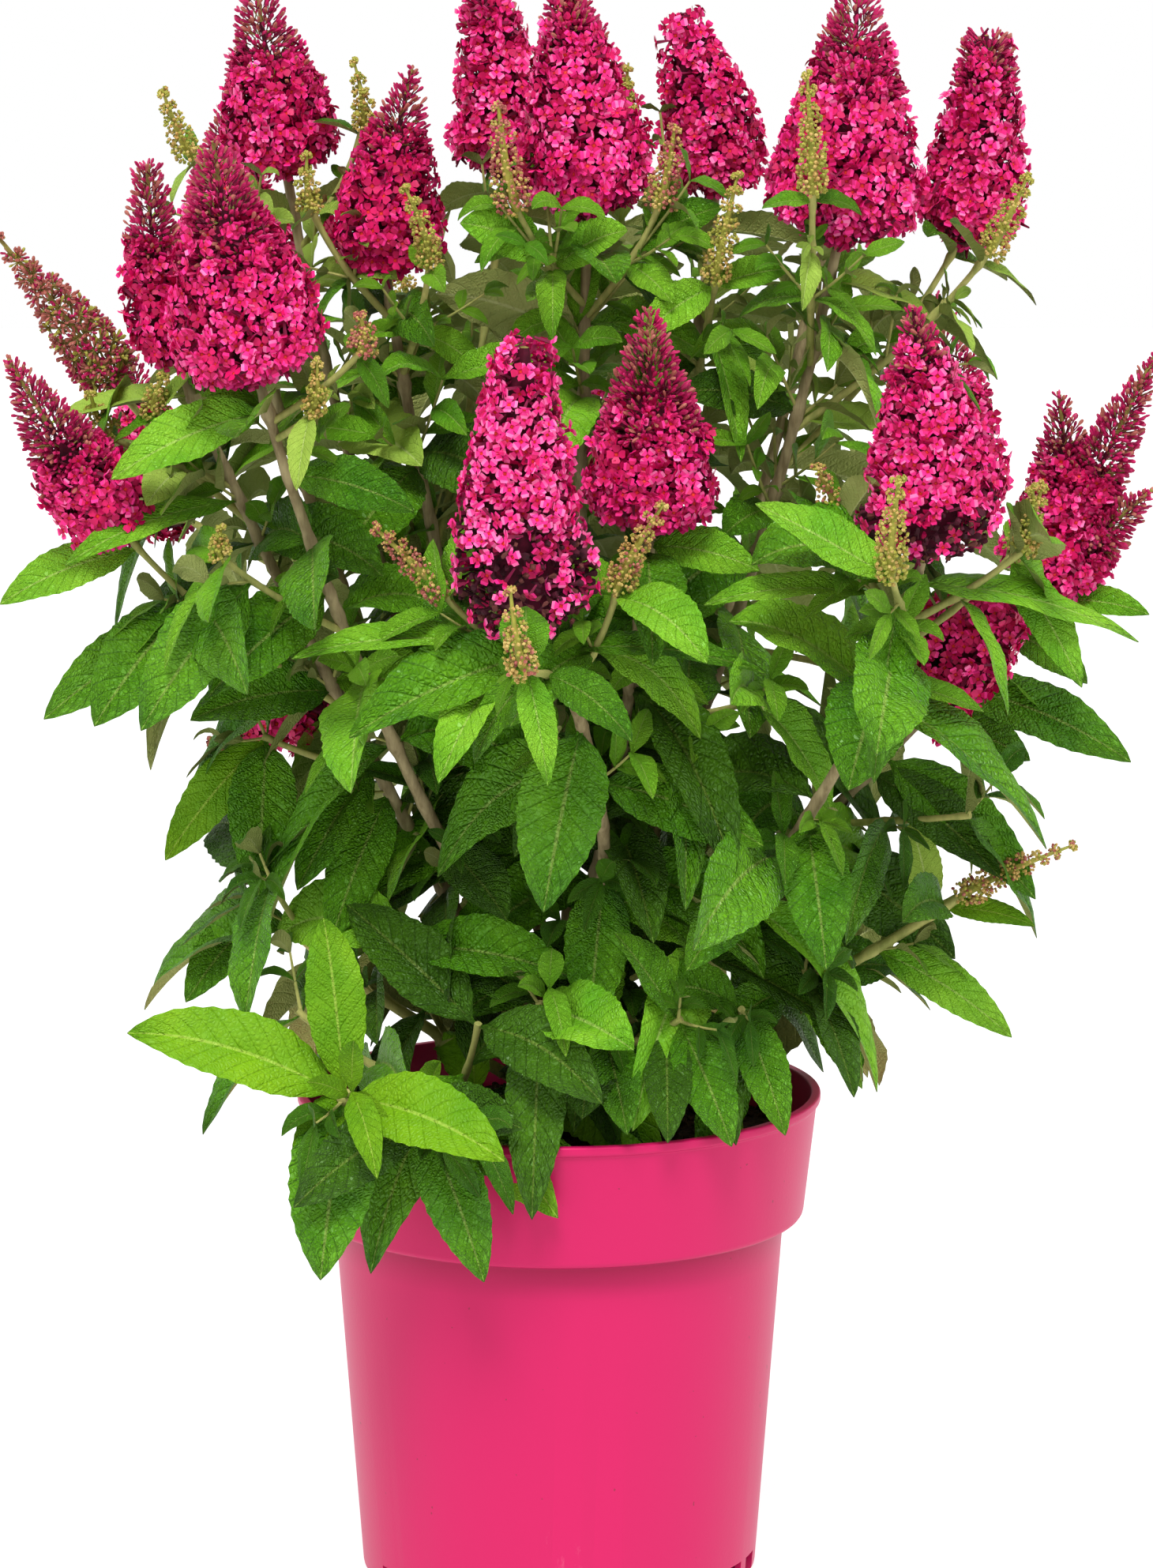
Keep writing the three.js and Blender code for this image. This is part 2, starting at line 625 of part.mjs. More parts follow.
// The pairs of leaves of one shoot, each pair a quarter turn on from the one below.
function leavesOn(shoot) {
  const made = [];
  const share = PAIR.lastAt - shoot.first;
  const gaps = Math.round((share * shoot.curve.getLength()) / LEAF.spacing);
  for (let k = 0; k <= gaps; k++) {
    const u = gaps ? k / gaps : 1;
    const t = PAIR.lastAt - share * (1 - u);
    const { along, across, over } = frameAt(shoot.curve, t);
    for (let side = 0; side < 2; side++) {
      const luck = [0, 1, 2, 3].map((n) => 2 * chance(shoot.seed, k, side + 2 * n) - 1);
      const turn = degrees(shoot.turn + PAIR.quarter * (k + 2 * side) + PAIR.turnLuck * luck[0]);
      const rise = degrees(PAIR.rise + PAIR.topRise * u ** 2 + PAIR.riseLuck * luck[1]);
      const out = sum([across, Math.cos(turn)], [over, Math.sin(turn)]);
      const heading = sum([out, Math.cos(rise)], [along, Math.sin(rise)]);
      const root = shoot.curve.getPoint(t);
      const height = THREE.MathUtils.clamp((root.z - LEAF.fullBelow) / LEAF.smallOver, 0, 1);
      const length = shoot.leaf * (1 - LEAF.smallShare * height) * (1 + PAIR.lengthLuck * luck[2]);
      const droop = PAIR.droop - PAIR.topDroop * u ** 4 + PAIR.droopLuck * luck[3];
      made.push({ root, heading, along, length, droop });
    }
  }
  for (const { at, tip, face = PAIR.placedFace } of shoot.placed ?? []) {
    const own = leafTo(shoot.curve.getPoint(at), shoot.curve.getTangent(at), point(tip));
    const far = made.map((row) => (row.face ? Infinity : midrib(row, 1).distanceTo(point(tip))));
    made[far.indexOf(Math.min(...far))] = { ...own, face: point(face) };
  }
  return made.map(leaf).filter(Boolean);
}

// A spike of flowers: a stalk that swells into an uneven cone along the curve to its tip.
function spike(curve, stalk, wide, seed) {
  const { sides, mean, uneven, profile } = SPIKE;
  const rings = [0, profile[0][0] / 2].map((t) => ringAt(curve, t, sides, () => stalk));
  profile.forEach(([t, share], k) => {
    const lumpy = (i) => (wide / 2) * share * (mean + uneven * (2 * chance(seed, k, i) - 1));
    rings.push(ringAt(curve, t, sides, lumpy));
  });
  rings.push([curve.getPoint(1)]);
  return solidOf(skin(rings));
}

// The curve of a spike: it leaves in the direction of its shoot and bends towards its tip.
function spikeCurve(shoot, tip) {
  const foot = shoot.curve.getPoint(1);
  const leave = shoot.curve.getTangent(1);
  const length = foot.distanceTo(tip);
  return new THREE.QuadraticBezierCurve3(foot, sum([foot, 1], [leave, length * SPIKE.leanOn]), tip);
}

function bloom(shoot) {
  const { tip, wide, lobes = [] } = shoot.bloom;
  const curve = spikeCurve(shoot, point(tip));
  const foot = curve.getPoint(SPIKE.lobeAt);
  const lobe = (end, i) => {
    const aside = new THREE.LineCurve3(foot, point(end));
    return spike(aside, SPIKE.lobeStalk, wide * SPIKE.lobeShare, shoot.seed + (i + 1) / 2);
  };
  return wasm.Manifold.union([spike(curve, shoot.tipRadius, wide, shoot.seed), ...lobes.map(lobe)]);
}

function buds(shoot) {
  const curve = spikeCurve(shoot, point(shoot.buds.tip));
  const half = shoot.buds.wide / 2;
  const ring = ([t, share]) => ringAt(curve, t, BUDS.sides, () => share * half, BUDS.turn);
  return solidOf(skin([...BUDS.profile.map(ring), [curve.getPoint(1)]]));
}

// ---- Shoots ----

// The curves, radii and seeds of all shoots of one limb or spray, the first being its own stem.
function shootsOf(row, number, split) {
  const stem = bowed(trunkAxis(row.leave), point(row.to), row.bow, row.aside);
  const main = { ...row, curve: stem, t0: split, seed: 10 * number };
  const grown = [{ ...main, radius: TWIG.radius, first: split + 0.1 * (1 - split) }];
  row.shoots.forEach((side, i) => {
    const t = split + (1 - split) * side.from;
    const from = stem.getPoint(t);
    const to = point(side.to);
    const rest = { curve: bowed(from, to, 0.06 * from.distanceTo(to), 0, side.lift) };
    grown.push({ ...side, ...rest, t0: 0, radius: TWIG.sideRadius, first: 0.4, seed: 10 * number + i + 1 });
  });
  grown.forEach((s) => (s.tipRadius = s.radius * TWIG.tipShare));
  return grown;
}

function twig(shoot) {
  const length = shoot.curve.getLength() * (1 - shoot.t0);
  const end = shoot.bloom ? 1 - GAP / shoot.curve.getLength() : 1;
  const steps = Math.max(2, Math.round(length / TWIG.spacing));
  const start = shoot.t0 ? shoot.t0 + GAP / shoot.curve.getLength() : 0;
  return limb(shoot.curve, start, end, shoot.radius, shoot.tipRadius, TWIG.sides, steps);
}

// ---- Assembly ----

const plant = new THREE.Group();
const solids = new Map(); // every finished solid, by its node's name

function clear(solid, own) {
  const box = solid.boundingBox();
  for (const [name, other] of solids) {
    if (name === own) continue;
    const b = other.boundingBox();
    if ([0, 1, 2].some((i) => box.min[i] > b.max[i] + 1 || b.min[i] > box.max[i] + 1)) continue;
    if (solid.minGap(other, 1) < GAP) return false;
  }
  return true;
}

// The largest body of a fused mass, without slivers, loose scraps or sealed hollows.
function whole(solid) {
  const bodies = solid.asOriginal().simplify(SLIVER).decompose().filter((b) => b.volume() > 0);
  return bodies.sort((a, b) => b.volume() - a.volume())[0];
}

// How many pairs of a solid's corners are so near that rounding could join them.
function nearPairs(solid) {
  const { vertProperties, numProp } = solid.getMesh();
  const corners = [];
  for (let i = 0; i < vertProperties.length; i += numProp) {
    corners.push(point(vertProperties.subarray(i, i + 3)));
  }
  const near = (a, i) => corners.slice(i + 1).filter((b) => a.distanceTo(b) < NEAR).length;
  return corners.reduce((count, corner, i) => count + near(corner, i), 0);
}

// A mass fused from its wood and leaves. A leaf that brings corners too near is left out.
function fused(wood, leaves) {
  const join = (some) => whole(wasm.Manifold.union([wood, ...some]));
  const all = join(leaves);
  const count = nearPairs(all);
  if (!count) return all;
  const fewer = leaves.map((one) => leaves.filter((other) => other !== one));
  const better = fewer.find((rest) => nearPairs(join(rest)) < count);
  return better ? fused(wood, better) : all;
}

function keep(name, solid, material) {
  solids.set(name, solid);
  const { vertProperties, triVerts, numProp } = solid.getMesh();
  const geometry = new THREE.BufferGeometry();
  const places = new Float32Array((vertProperties.length / numProp) * 3);
  for (let i = 0; i < places.length; i++) places[i] = vertProperties[Math.floor(i / 3) * numProp + (i % 3)];
  geometry.setAttribute("position", new THREE.BufferAttribute(places, 3));
  geometry.setIndex([...triVerts]);
  geometry.computeVertexNormals();
  const mesh = new THREE.Mesh(geometry, material);
  mesh.name = name;
  plant.add(mesh);
}

keep("pot", pot(), potPlastic);
keep("compost", compost(), compostBrown);
keep("trunk", trunk(), barkBrown);

const masses = [];
const bark = trunk(GAP);
LIMBS.forEach((row, i) => {
  const shoots = shootsOf(row, i + 1, row.split);
  const b = BOUGH;
  const rough = limb(shoots[0].curve, 0, row.split, b.baseRadius, b.tipRadius, b.sides, b.steps);
  keep(`bough_${row.name}`, whole(rough.subtract(bark)), barkBrown);
  masses.push({ name: `leaves_${row.name}`, shoots });
});
SPRAYS.forEach((row, i) => {
  masses.push({ name: `leaves_${row.name}`, shoots: shootsOf(row, LIMBS.length + i + 1, 0) });
});
for (const { name, shoots } of masses) {
  const flowering = shoots.filter((s) => s.bloom);
  flowering.forEach((s, i) => {
    const place = name.replace("leaves_", "bloom_") + (i ? `_${i + 1}` : "");
    keep(place, bloom(s), petalPink);
  });
}
for (const mass of masses) {
  const wood = mass.shoots.map(twig).concat(mass.shoots.filter((s) => s.buds).map(buds));
  mass.wood = whole(wasm.Manifold.union(wood).subtract(bark));
  solids.set(mass.name, mass.wood);
}
for (const mass of masses) {
  const kept = mass.shoots.flatMap(leavesOn).filter((one) => clear(one, mass.name));
  keep(mass.name, fused(mass.wood, kept), leafGreen);
}

export default plant;
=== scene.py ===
"""A potted butterfly bush in flower: stems, toothed leaves, flower spikes and buds grown from the
limbs by one seeded rule, over a moulded pot of crumbly compost.

Lengths are millimetres until a mesh is laid, and metres from there on."""

import functools
import math

import bpy
import numpy as np
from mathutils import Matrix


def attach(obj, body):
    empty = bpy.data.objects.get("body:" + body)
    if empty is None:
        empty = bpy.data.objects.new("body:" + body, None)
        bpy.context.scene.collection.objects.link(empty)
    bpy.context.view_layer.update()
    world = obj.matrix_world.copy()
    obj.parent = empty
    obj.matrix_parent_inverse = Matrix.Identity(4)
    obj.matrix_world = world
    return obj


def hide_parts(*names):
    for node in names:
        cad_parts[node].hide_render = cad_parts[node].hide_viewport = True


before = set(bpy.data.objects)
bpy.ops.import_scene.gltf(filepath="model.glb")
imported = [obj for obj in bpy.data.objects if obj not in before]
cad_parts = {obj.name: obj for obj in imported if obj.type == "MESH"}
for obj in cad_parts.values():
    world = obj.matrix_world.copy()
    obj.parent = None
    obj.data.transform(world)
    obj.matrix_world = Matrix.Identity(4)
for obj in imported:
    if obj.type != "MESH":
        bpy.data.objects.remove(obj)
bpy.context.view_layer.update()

# ---- Sizes, as in the part's source ----

GAP = 0.3
POT_HEIGHT, RIM_RADIUS, LIP_HEIGHT, LIP_STEP = 215.0, 115.0, 4.0, 1.6
BAND_HEIGHT, BAND_FOOT_RADIUS, WALL_TOP_RADIUS, FOOT_RADIUS = 55.0, 107.6, 99.0, 87.0
WALL, FLOOR_THICK = 2.5, 3.0
DRAIN_GROUPS, DRAIN_FIRST_TURN, DRAIN_RIB = 6, 8, 6
DRAIN_WIDTH, DRAIN_HEIGHT, DRAIN_DEPTH = 12, 10, 12
COMPOST_EDGE, COMPOST_CROWN = 194.0, 200.0
GROUND = COMPOST_CROWN + GAP
TRUNK_HEIGHT, TRUNK_LEAN = 74.0, 4.0
TRUNK_PROFILE = [(0, 14), (0.1, 10.9), (0.3, 8.5), (0.94, 5.5), (1, 3.3)]
SPLIT = 0.2  # the share of a limb that is bare bough
BOUGH_BASE, BOUGH_TIP = 3.4, 3.0
STEM_RADIUS, SIDE_RADIUS, TIP_SHARE = 2.8, 1.7, 0.72
LEAF_SPACING, FULL_BELOW, SMALL_OVER, SMALL_SHARE, SHORTFALL = 33.0, 460.0, 150.0, 0.4, 0.3
LAST_PAIR, TURN_LUCK, RISE, TOP_RISE, RISE_LUCK = 0.96, 20.0, 4.0, 12.0, 12.0
LENGTH_LUCK, DROOP, TOP_DROOP, DROOP_LUCK, PLACED_DROOP = 0.14, 0.5, 0.25, 0.2, 0.22
SPACE_WIDE, SPACE_DEEP, SPACE_MIDDLE, SPACE_HIGH, SPACE_LOW = 262.0, 232.0, 400.0, 330.0, 150.0
SPIKE_PLACES = [0, 0.04, 0.08, 0.17, 0.32, 0.5, 0.68, 0.84, 0.95, 1]
SPIKE_SHARES = [0.1, 0.2, 0.5, 0.92, 1, 0.86, 0.64, 0.4, 0.2, 0.06]
UP = np.array([0.0, 0.0, 1.0])

# ---- Limbs and sprays, as in the part's source ----

# Ways that the upper face of a placed leaf may turn.
FORWARDS, FLAT, TURNED_AWAY = (0, -1, 0.6), (0, -0.6, 1), (0, 1, 0.5)
# Numbers of the greens of a leaf by its age, and of its underside, among a piece's finishes.
OLD, GROWN, FRESH, YOUNG, PALE, UNDER = range(6)
# Numbers of the finishes of a blossom piece. BROWN, OLIVE and STRAW are kinds of bud spike too.
LIGHT, PINK, DEEP, FADED, WITHERED, EYE_RED, TUBE_RED = range(7)
MAGENTA, BROWN, OLIVE, STRAW, CORE_AND_SHADE, STALK = range(7, 13)


def leaf(at, tip, wide=0.2, tone=None, face=FORWARDS):
    """A leaf that is placed: it grows at its share of the shoot to its own tip, instead of the leaf
    whose tip is nearest. "wide" is its half width over its length."""
    return "placed", dict(at=at, tip=tip, wide=wide, tone=tone, face=face)


def bloom(tip, wide, opened, hue, blunt=0.0, bunched=False, lobes=()):
    """A flower spike. "opened" gives the shares of it between which its florets are open: below them
    they have faded, and above them they are still buds, in bunches if it is bunched. "hue" is how
    deep its pink is, from 0 to 1, and "lobes" are the tips of its side spikes."""
    own = dict(tip=tip, wide=wide, opened=opened, hue=hue, blunt=blunt, bunched=bunched, lobes=lobes)
    return "blooms", own


def buds(tip, wide, kind):
    """A spike of green buds."""
    return "buds", dict(tip=tip, wide=wide, kind=kind)


def shoot(at, to, size, turn, *parts, **more):
    """A side shoot from a share of its limb to its own end. "size" is the length of its largest
    leaves, "turn" the turn of its first pair of leaves about it in degrees, and "tone" their green."""
    row = dict(at=at, to=to, size=size, turn=turn, placed=[], blooms=[], buds=[], shoots=[], **more)
    for kind, part in parts:
        row[kind].append(part)
    return "shoots", row


def limb(name, leave, to, bow, size, turn, parts, **more):
    """A limb or spray that leaves the trunk at a height, bowed outwards, with all that it bears."""
    return dict(shoot(None, to, size, turn, *parts, **more)[1], name=name, leave=leave, bow=bow)


LIMBS = [
    limb("left_front", 34, (-124, -90, 535), 15, 84, 10, [
        leaf(0.31, (-22, -76, 305), 0.22, OLD), leaf(0.7, (-146, -93, 404), 0.24, GROWN),
        leaf(0.87, (-60, -96, 482), 0.18, GROWN), leaf(0.96, (-186, -92, 495), 0.18, FRESH),
        bloom((-141, -120, 641), 67, (0, 0.76), 0.45),
        shoot(0.9, (-102, -106, 524), 40, 60, buds((-99, -115, 549), 10, OLIVE)),
        shoot(0.55, (-140, -92, 462), 45, 20, leaf(0.7, (-175, -92, 389), 0.23, GROWN),
            buds((-140, -90, 476), 10, OLIVE)),
        shoot(0.93, (-82, -98, 548), 30, 40, buds((-82, -102, 566), 13, BROWN)),
    ]),
    limb("left", 16, (-160, -52, 538), 7, 82, 80, [
        leaf(0.42, (-98, -52, 290), 0.2, GROWN), leaf(0.46, (-112, -50, 313), 0.2, GROWN),
        leaf(0.56, (-156, -64, 389), 0.19, GROWN), leaf(0.82, (-205, -100, 460), 0.1, FRESH, FLAT),
        bloom((-171, -70, 628), 32, (0, 0.72), 0.7, blunt=0.3),
        shoot(0.74, (-185, -28, 524), 60, 0,
            bloom((-238, -60, 597), 32, (0, 0.06), 0.9, bunched=True)),
        shoot(0.42, (-181, -60, 466), 80, 30, leaf(0.55, (-219, -55, 388), 0.17, GROWN),
            leaf(0.64, (-196, -74, 388), 0.25, GROWN), leaf(0.94, (-235, -74, 440), 0.17, FRESH),
            bloom((-228, -110, 550), 43, (0, 0.6), 0.6)),
        shoot(0.9, (-168, -64, 520), 30, 30, buds((-164, -72, 538), 12, OLIVE)),
        shoot(0.8, (-188, -54, 508), 34, 70, leaf(0.36, (-172, -84, 483), 0.22, PALE),
            buds((-197, -62, 530), 13, OLIVE)),
        shoot(0.3, (-128, -14, 374), 62, 20, leaf(0.96, (-170, -28, 322), 0.17, YOUNG),
            leaf(0.96, (-129, -44, 308), 0.22, GROWN), tone=YOUNG),
    ]),
    limb("left_back", 38, (-117, 20, 612), 14, 80, 45, [
        leaf(0.76, (-42, 5, 528)),
        bloom((-131, 10, 704), 52, (0, 0.7), 0.55, lobes=[(-102, 30, 658)]),
        shoot(0.86, (-155, -30, 624), 42, 0, buds((-167, -40, 655), 12, OLIVE)),
        shoot(0.9, (-84, 0, 634), 40, 90, buds((-88, 0, 666), 10, OLIVE)),
        shoot(0.24, (-102, 44, 376), 58, 10, bloom((-160, 62, 358), 32, (0, 0.9), 0.5)),
    ]),
    limb("centre_left", 53, (-73, -20, 572), 8, 80, 30, [
        leaf(0.3, (-81, -40, 304), 0.18, GROWN), leaf(0.75, (-92, -60, 457), 0.26, GROWN),
        bloom((-61, -20, 665), 51, (0, 0.78), 0.7),
        shoot(0.55, (-24, 58, 610), 62, 70, bloom((-34, 60, 702), 49, (0, 0.94), 0.4, blunt=0.2)),
        shoot(0.84, (-54, -54, 580), 44, 10, buds((-65, -60, 616), 12, OLIVE)),
        shoot(0.93, (-104, -34, 602), 36, 0, buds((-106, -36, 628), 11, OLIVE)),
    ]),
    limb("centre", 73, (12, -30, 598), 3, 82, 0, [
        leaf(0.84, (-52, -30, 567), 0.2, GROWN, TURNED_AWAY),
        bloom((-1, -40, 708), 56, (0, 0.9), 0.4),
        shoot(0.86, (-17, -56, 604), 52, 80, leaf(0.5, (-41, -60, 599), 0.22, FRESH),
            leaf(0.4, (29, -62, 596), 0.2, FRESH), buds((-25, -62, 650), 16, BROWN)),
        shoot(0.84, (42, -46, 604), 50, 20, leaf(0.6, (69, -50, 605), 0.16, GROWN),
            leaf(0.5, (48, -66, 566), 0.2, FRESH), buds((49, -50, 640), 14, BROWN)),
    ]),
    limb("right_inner", 50, (68, 38, 603), 8, 80, 60, [
        leaf(0.84, (94, 0, 518), 0.2, OLD), bloom((51, 40, 684), 48, (0, 1), 0.4, blunt=0.35),
        shoot(0.66, (66, -50, 574), 55, 20, buds((76, -54, 622), 13, OLIVE)),
        shoot(0.92, (31, 4, 632), 36, 50, buds((30, 0, 664), 10, OLIVE)),
    ]),
    limb("right_mid", 38, (118, -30, 586), 12, 84, 20, [
        leaf(0.68, (70, -50, 466), 0.26, GROWN), leaf(0.8, (51, -50, 527), 0.17, OLD),
        bloom((126, -30, 706), 66, (0.04, 0.8), 0.45),
        shoot(0.66, (172, 28, 582), 62, 50,
            bloom((184, 20, 678), 48, (0.06, 0.96), 0.4, blunt=0.35)),
        shoot(0.82, (106, -72, 612), 46, 0, buds((103, -74, 664), 13, OLIVE)),
        shoot(0.72, (182, -20, 582), 52, 30, buds((200, -22, 618), 14, OLIVE)),
    ]),
    limb("front", 34, (-6, -128, 436), 8, 88, 84, [
        leaf(0.27, (-45, -60, 258), 0.19, GROWN), leaf(0.43, (13, -96, 262), 0.22, GROWN),
        leaf(0.66, (86, -104, 342), 0.18, GROWN), leaf(0.79, (-6, -126, 318), 0.27, GROWN),
        leaf(0.96, (86, -124, 418), 0.09, GROWN, FLAT),
        bloom((-13, -160, 562), 61, (0.53, 1), 0.0, blunt=0.28),
        shoot(0.82, (-46, -112, 448), 66, 60, leaf(0.52, (-110, -122, 424), 0.1, FRESH, FLAT),
            buds((-77, -116, 479), 14, BROWN)),
        shoot(0.88, (-13, -178, 428), 44, 0, buds((-19, -192, 464), 13, STRAW)),
        shoot(0.84, (24, -128, 452), 60, 40, buds((44, -136, 491), 14, STRAW)),
    ], aside=22),
    limb("front_right", 54, (38, -80, 472), 10, 80, 20, [
        leaf(0.97, (84, -95, 457), 0.18, FRESH), bloom((37, -92, 570), 58, (0, 0.68), 0.45),
        shoot(0.5, (84, -92, 402), 66, 60),
    ]),
    limb("right_front", 16, (150, -118, 464), 30, 88, 70, [
        leaf(0.41, (54, -100, 288), 0.22, GROWN), leaf(0.54, (112, -118, 292), 0.23, GROWN),
        leaf(0.81, (119, -152, 374), 0.3, GROWN), leaf(0.96, (244, -80, 425), 0.1, FRESH, FLAT),
        bloom((144, -132, 574), 60, (0.36, 0.9), 0.25),
        shoot(0.88, (136, -152, 462), 62, 80, buds((138, -168, 507), 14, OLIVE)),
        shoot(0.86, (118, -104, 478), 50, 30, leaf(0.3, (60, -127, 447), 0.1, FRESH, FLAT),
            buds((106, -112, 504), 13, STRAW)),
        shoot(0.8, (190, -84, 462), 70, 0, leaf(0.96, (219, -96, 408), 0.17, FRESH),
            buds((203, -84, 494), 13, OLIVE)),
        shoot(0.86, (192, -104, 466), 40, 50, buds((196, -108, 496), 12, OLIVE)),
    ]),
    limb("right", 25, (204, -30, 438), 6, 84, 40, [
        leaf(0.48, (172, -25, 278), 0.22, OLD), leaf(0.63, (189, -52, 319), 0.16, OLD),
        leaf(0.66, (205, -44, 308), 0.18, GROWN), leaf(0.74, (202, -42, 368), 0.2, GROWN),
        leaf(0.81, (246, -34, 366), 0.16, GROWN), leaf(0.93, (225, -53, 403), 0.2, GROWN),
        leaf(0.98, (250, -62, 434), 0.12, FRESH),
        bloom((211, -50, 530), 50, (0, 0.8), 0.45, lobes=[(252, -62, 547), (252, -60, 488)]),
        shoot(0.7, (172, -58, 442), 36, 60, bloom((161, -72, 380), 54, (0, 1), 0.65), lift=24),
        shoot(0.4, (176, -52, 346), 70, 20),
    ]),
    limb("back_left", 28, (-140, 90, 556), 14, 82, 25, [
        bloom((-150, 110, 642), 55, (0, 0.75), 0.5),
        shoot(0.5, (-166, 110, 452), 74, 60, bloom((-196, 136, 532), 46, (0.1, 0.8), 0.4)),
    ]),
    limb("back", 36, (14, 132, 596), 12, 84, 50, [
        bloom((8, 150, 694), 56, (0, 0.7), 0.5),
        shoot(0.4, (12, 172, 430), 80, 0, bloom((15, 200, 524), 58, (0.2, 0.9), 0.3)),
        shoot(0.66, (-62, 134, 540), 62, 30, buds((-74, 142, 580), 13, OLIVE)),
    ]),
    limb("back_right", 32, (120, 110, 583), 14, 84, 75, [
        bloom((125, 130, 684), 60, (0, 0.7), 0.5),
        shoot(0.5, (165, 122, 458), 76, 15, bloom((170, 148, 556), 56, (0.1, 0.8), 0.45)),
        shoot(0.36, (178, 66, 380), 70, 40),
    ]),
]
SPRAYS = [
    limb("low_front_left", 10, (-92, -110, 236), 14, 86, 4, [
        leaf(0.96, (-180, -122, 266), 0.14, YOUNG), leaf(0.96, (-98, -116, 314), 0.12, YOUNG),
        leaf(0.96, (-22, -160, 220), 0.19, YOUNG), leaf(0.96, (-99, -146, 166), 0.25, GROWN),
        leaf(0.9, (-111, -126, 212), 0.25, YOUNG),
        shoot(0.66, (-56, -112, 226), 76, 80, leaf(0.5, (-15, -126, 226), 0.2, OLD),
            leaf(0.96, (-31, -134, 162), 0.22, GROWN), tone=OLD),
        shoot(0.45, (-112, -58, 262), 72, 30, tone=OLD),
        shoot(0.4, (-34, -84, 262), 84, 60, tone=OLD),
    ], tone=YOUNG),
    limb("low_front", 8, (20, -86, 262), 4, 62, 30, [
        leaf(0.77, (10, -120, 229), 0.24, OLD), leaf(0.94, (29, -120, 222), 0.2, GROWN),
        shoot(0.6, (52, -84, 264), 54, 70, leaf(0.8, (46, -118, 218), 0.19, OLD),
            leaf(0.96, (73, -112, 215), 0.2, GROWN)),
        shoot(0.4, (-8, -80, 270), 76, 60, leaf(0.96, (-11, -130, 188), 0.16, OLD)),
        shoot(0.3, (60, -56, 290), 70, 10),
    ]),
    limb("low_right", 9, (172, -40, 308), 10, 72, 45, [
        leaf(0.61, (128, -60, 231), 0.22, GROWN), leaf(0.75, (196, -38, 246), 0.16, FRESH),
        leaf(0.92, (151, -42, 341), 0.13, PALE), leaf(0.95, (205, -43, 296), 0.13, YOUNG),
        buds((223, -42, 332), 13, STRAW),
        shoot(0.4, (78, -74, 266), 62, 70, leaf(0.96, (96, -100, 217), 0.2, GROWN)),
        shoot(0.5, (106, -52, 278), 66, 20),
        shoot(0.5, (116, 26, 262), 68, 50, leaf(0.4, (134, 12, 212), 0.13, FRESH)),
    ]),
    limb("low_left", 8, (-132, 0, 300), 10, 76, 30, [
        leaf(0.96, (-162, -26, 259), 0.22, GROWN),
        shoot(0.5, (-108, 54, 262), 66, 0),
        shoot(0.3, (-66, -58, 292), 76, 60),
        shoot(0.7, (-124, -46, 318), 74, 10),
    ]),
    limb("low_back", 12, (10, 130, 276), 10, 74, 20, [
        shoot(0.4, (86, 100, 276), 72, 50),
        shoot(0.4, (-76, 104, 262), 72, 70),
    ]),
]


# ---- Materials ----


def lin(code):
    """sRGB hex to linear RGBA: c/12.92 below 0.04045, else ((c + 0.055) / 1.055) ** 2.4."""
    c = np.array([int(code[i : i + 2], 16) for i in (1, 3, 5)]) / 255
    c = np.where(c < 0.04045, c / 12.92, ((c + 0.055) / 1.055) ** 2.4)
    return (*map(float, c), 1.0)


def node(tree, kind, inputs=(), out=0, to=None, **settings):
    """Adds a node, sets its fields, fills its inputs, in order or by name, with values or with other
    nodes' sockets, and links its output to the socket "to". Returns the output."""
    new = tree.nodes.new("ShaderNode" + kind)
    for key, value in settings.items():
        setattr(new, key, value)
    for key, value in dict(inputs if isinstance(inputs, dict) else enumerate(inputs)).items():
        if isinstance(value, bpy.types.NodeSocket):
            tree.links.new(value, new.inputs[key])
        else:
            new.inputs[key].default_value = value
    if to is not None:
        tree.links.new(new.outputs[out], to)
    return new.outputs[out]


def finish(name, colour, roughness, specular=0.5, **more):
    """A Principled material of one plain colour. Returns it, what adds a node to it, and the inputs
    of its shader."""
    material = bpy.data.materials.new(name)
    material.use_nodes = True
    inputs = material.node_tree.nodes["Principled BSDF"].inputs
    plain = {"Base Color": lin(colour), "Roughness": roughness, "Specular IOR Level": specular}
    for key, value in {**plain, **more}.items():
        inputs[key].default_value = value
    return material, functools.partial(node, material.node_tree), inputs


RGBA = dict(out=2, data_type="RGBA")  # a Mix node whose inputs 6 and 7 are colours, 0 the amount
# The grain of plain noise. Noise lies on Object coordinates, and its scale counts lumps in a metre.
PLAIN = {"Detail": 3.0, "Roughness": 0.55}


